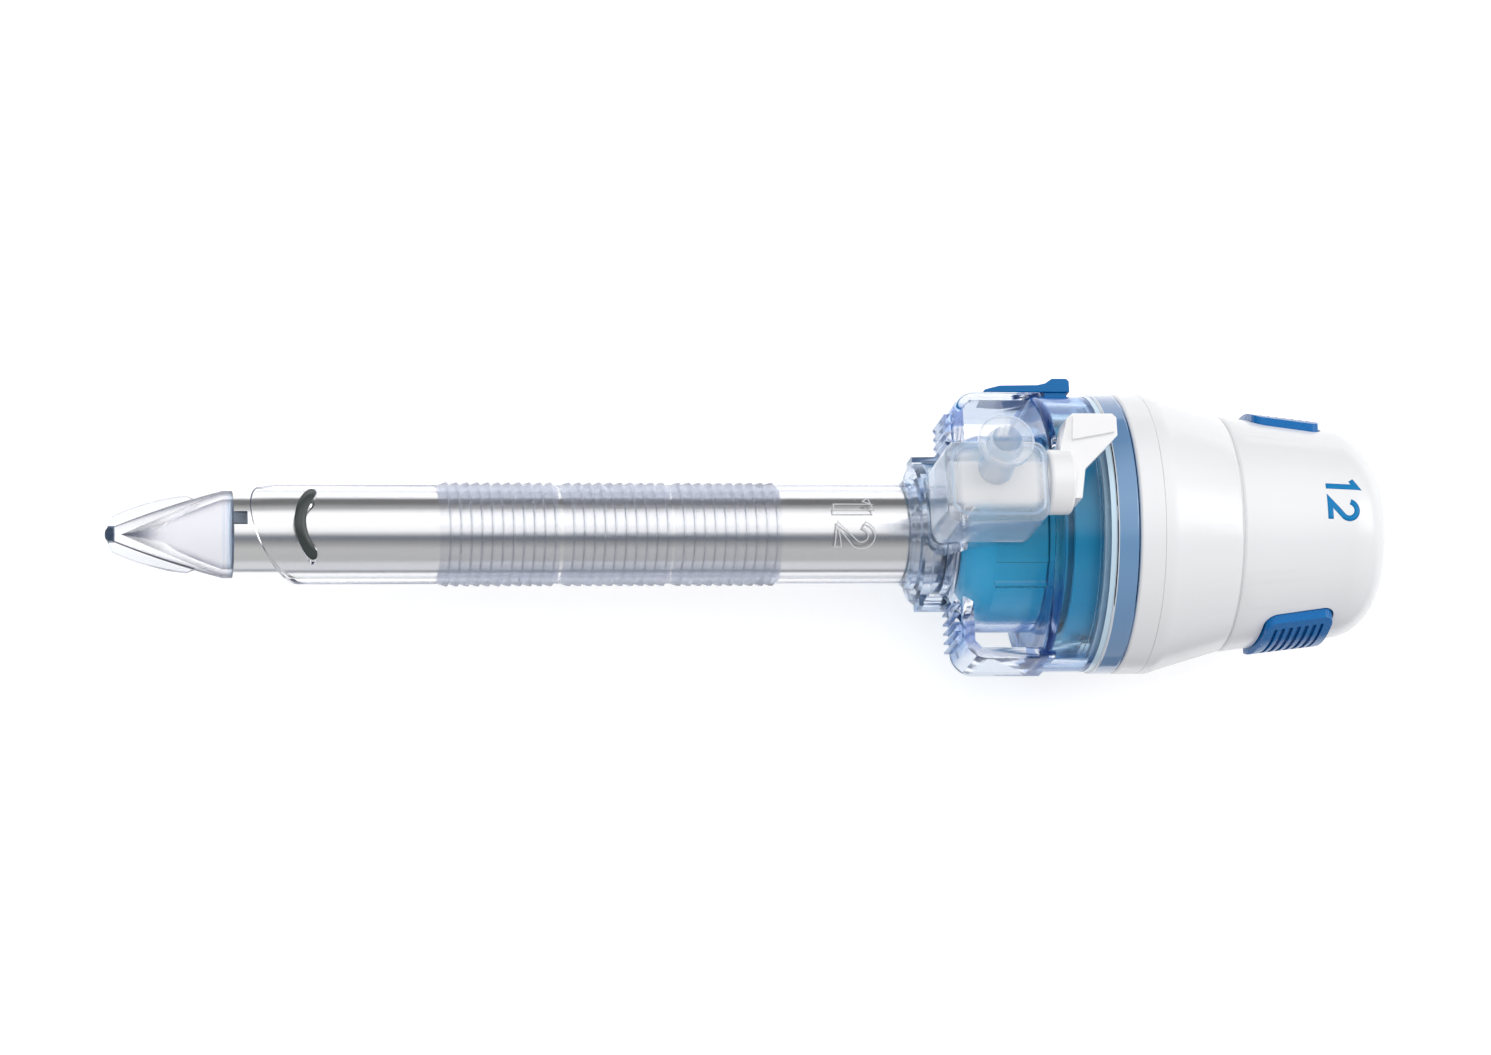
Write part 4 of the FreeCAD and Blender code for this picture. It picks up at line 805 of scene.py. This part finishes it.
def studio_floor():
    """White, with a dark strip and a far dark end that only polished surfaces see."""
    bpy.ops.mesh.primitive_plane_add(size=FLOOR_SIZE, location=(0, 0, cad_box[0].z - FLOOR_DROP))
    floor = bpy.context.object
    floor.name = "studio_floor"
    made, graph, shader = material("floor_white", roughness=0.9)
    own, passed, mirrored, bounced = light_path(graph)
    y = graph.axes()[1]
    front = (-30 * MM - y).ramp(0, 3 * MM) * (1.0 - (-44 * MM - y).ramp(0, 4 * MM) * 0.45)
    dark = (front + y.ramp(0.35, 0.5)) * bounced
    seen = (own + passed + mirrored).sum("MINIMUM", 1.0) * (1.0 - dark)
    graph.plug(shader.inputs["Emission Color"], (1, 1, 1))
    graph.plug(shader.inputs["Emission Strength"], seen * FLOOR_GLOW)
    graph.plug(shader.inputs["Base Color"], graph.mix(dark, (0.64, 0.64, 0.65), (0.25, 0.27, 0.30)))
    floor.data.materials.append(made)


def around(graph, angle, levels):
    """The colour that a list of levels gives at an angle round the trocar."""
    stops = []
    for degrees, level in levels:
        stops.append((degrees / 360 + 0.5, level if isinstance(level, tuple) else (level, level, level)))
    return graph.node("ShaderNodeValToRGB", {"stops": stops}, {0: angle})


def studio_world():
    """White for the camera, even light for the rest, and bands of light for what shines or is clear."""
    world = bpy.data.worlds.new("studio_world")
    bpy.context.scene.world = world
    world.use_nodes = True
    graph = Graph(world.node_tree)
    background = world.node_tree.nodes["Background"]
    direction = graph.tree.nodes.new("ShaderNodeSeparateXYZ")
    graph.plug(direction.inputs[0], graph.node("ShaderNodeTexCoord", output="Generated"))
    y, z = Term(graph, direction.outputs[1]), Term(graph, direction.outputs[2])
    over = z * math.cos(CAMERA_ROLL) - y * math.sin(CAMERA_ROLL)
    side = y * math.cos(CAMERA_ROLL) + z * math.sin(CAMERA_ROLL)
    angle = side.sum("ARCTAN2", over) / (2 * math.pi) + 0.5
    own, passed, mirrored, bounced = light_path(graph)
    colour = graph.mix(passed, AMBIENT, around(graph, angle, PASSED_LIGHT))
    colour = graph.mix(bounced, colour, around(graph, angle, MIRRORED_LIGHT))
    graph.plug(background.inputs["Color"], graph.mix(own, colour, (1, 1, 1)))
    background.inputs["Strength"].default_value = 1.0


def studio_lights():
    """A broad soft light over the tap and a smaller one beyond the cap."""
    key = area_light("key_light", place=(-0.10, 0.12, 0.80), aim=(0, 0, 0), size=(0.7, 0.4), power=2.4)
    key.visible_glossy = False
    key.visible_transmission = False
    area_light("end_light", place=(0.60, 0.10, 0.35), aim=(0.04, 0, 0), size=(0.3, 0.5), power=1.2)


dress()
photo_camera()
studio_floor()
studio_world()
studio_lights()
bpy.context.scene.view_settings.view_transform = "Standard"
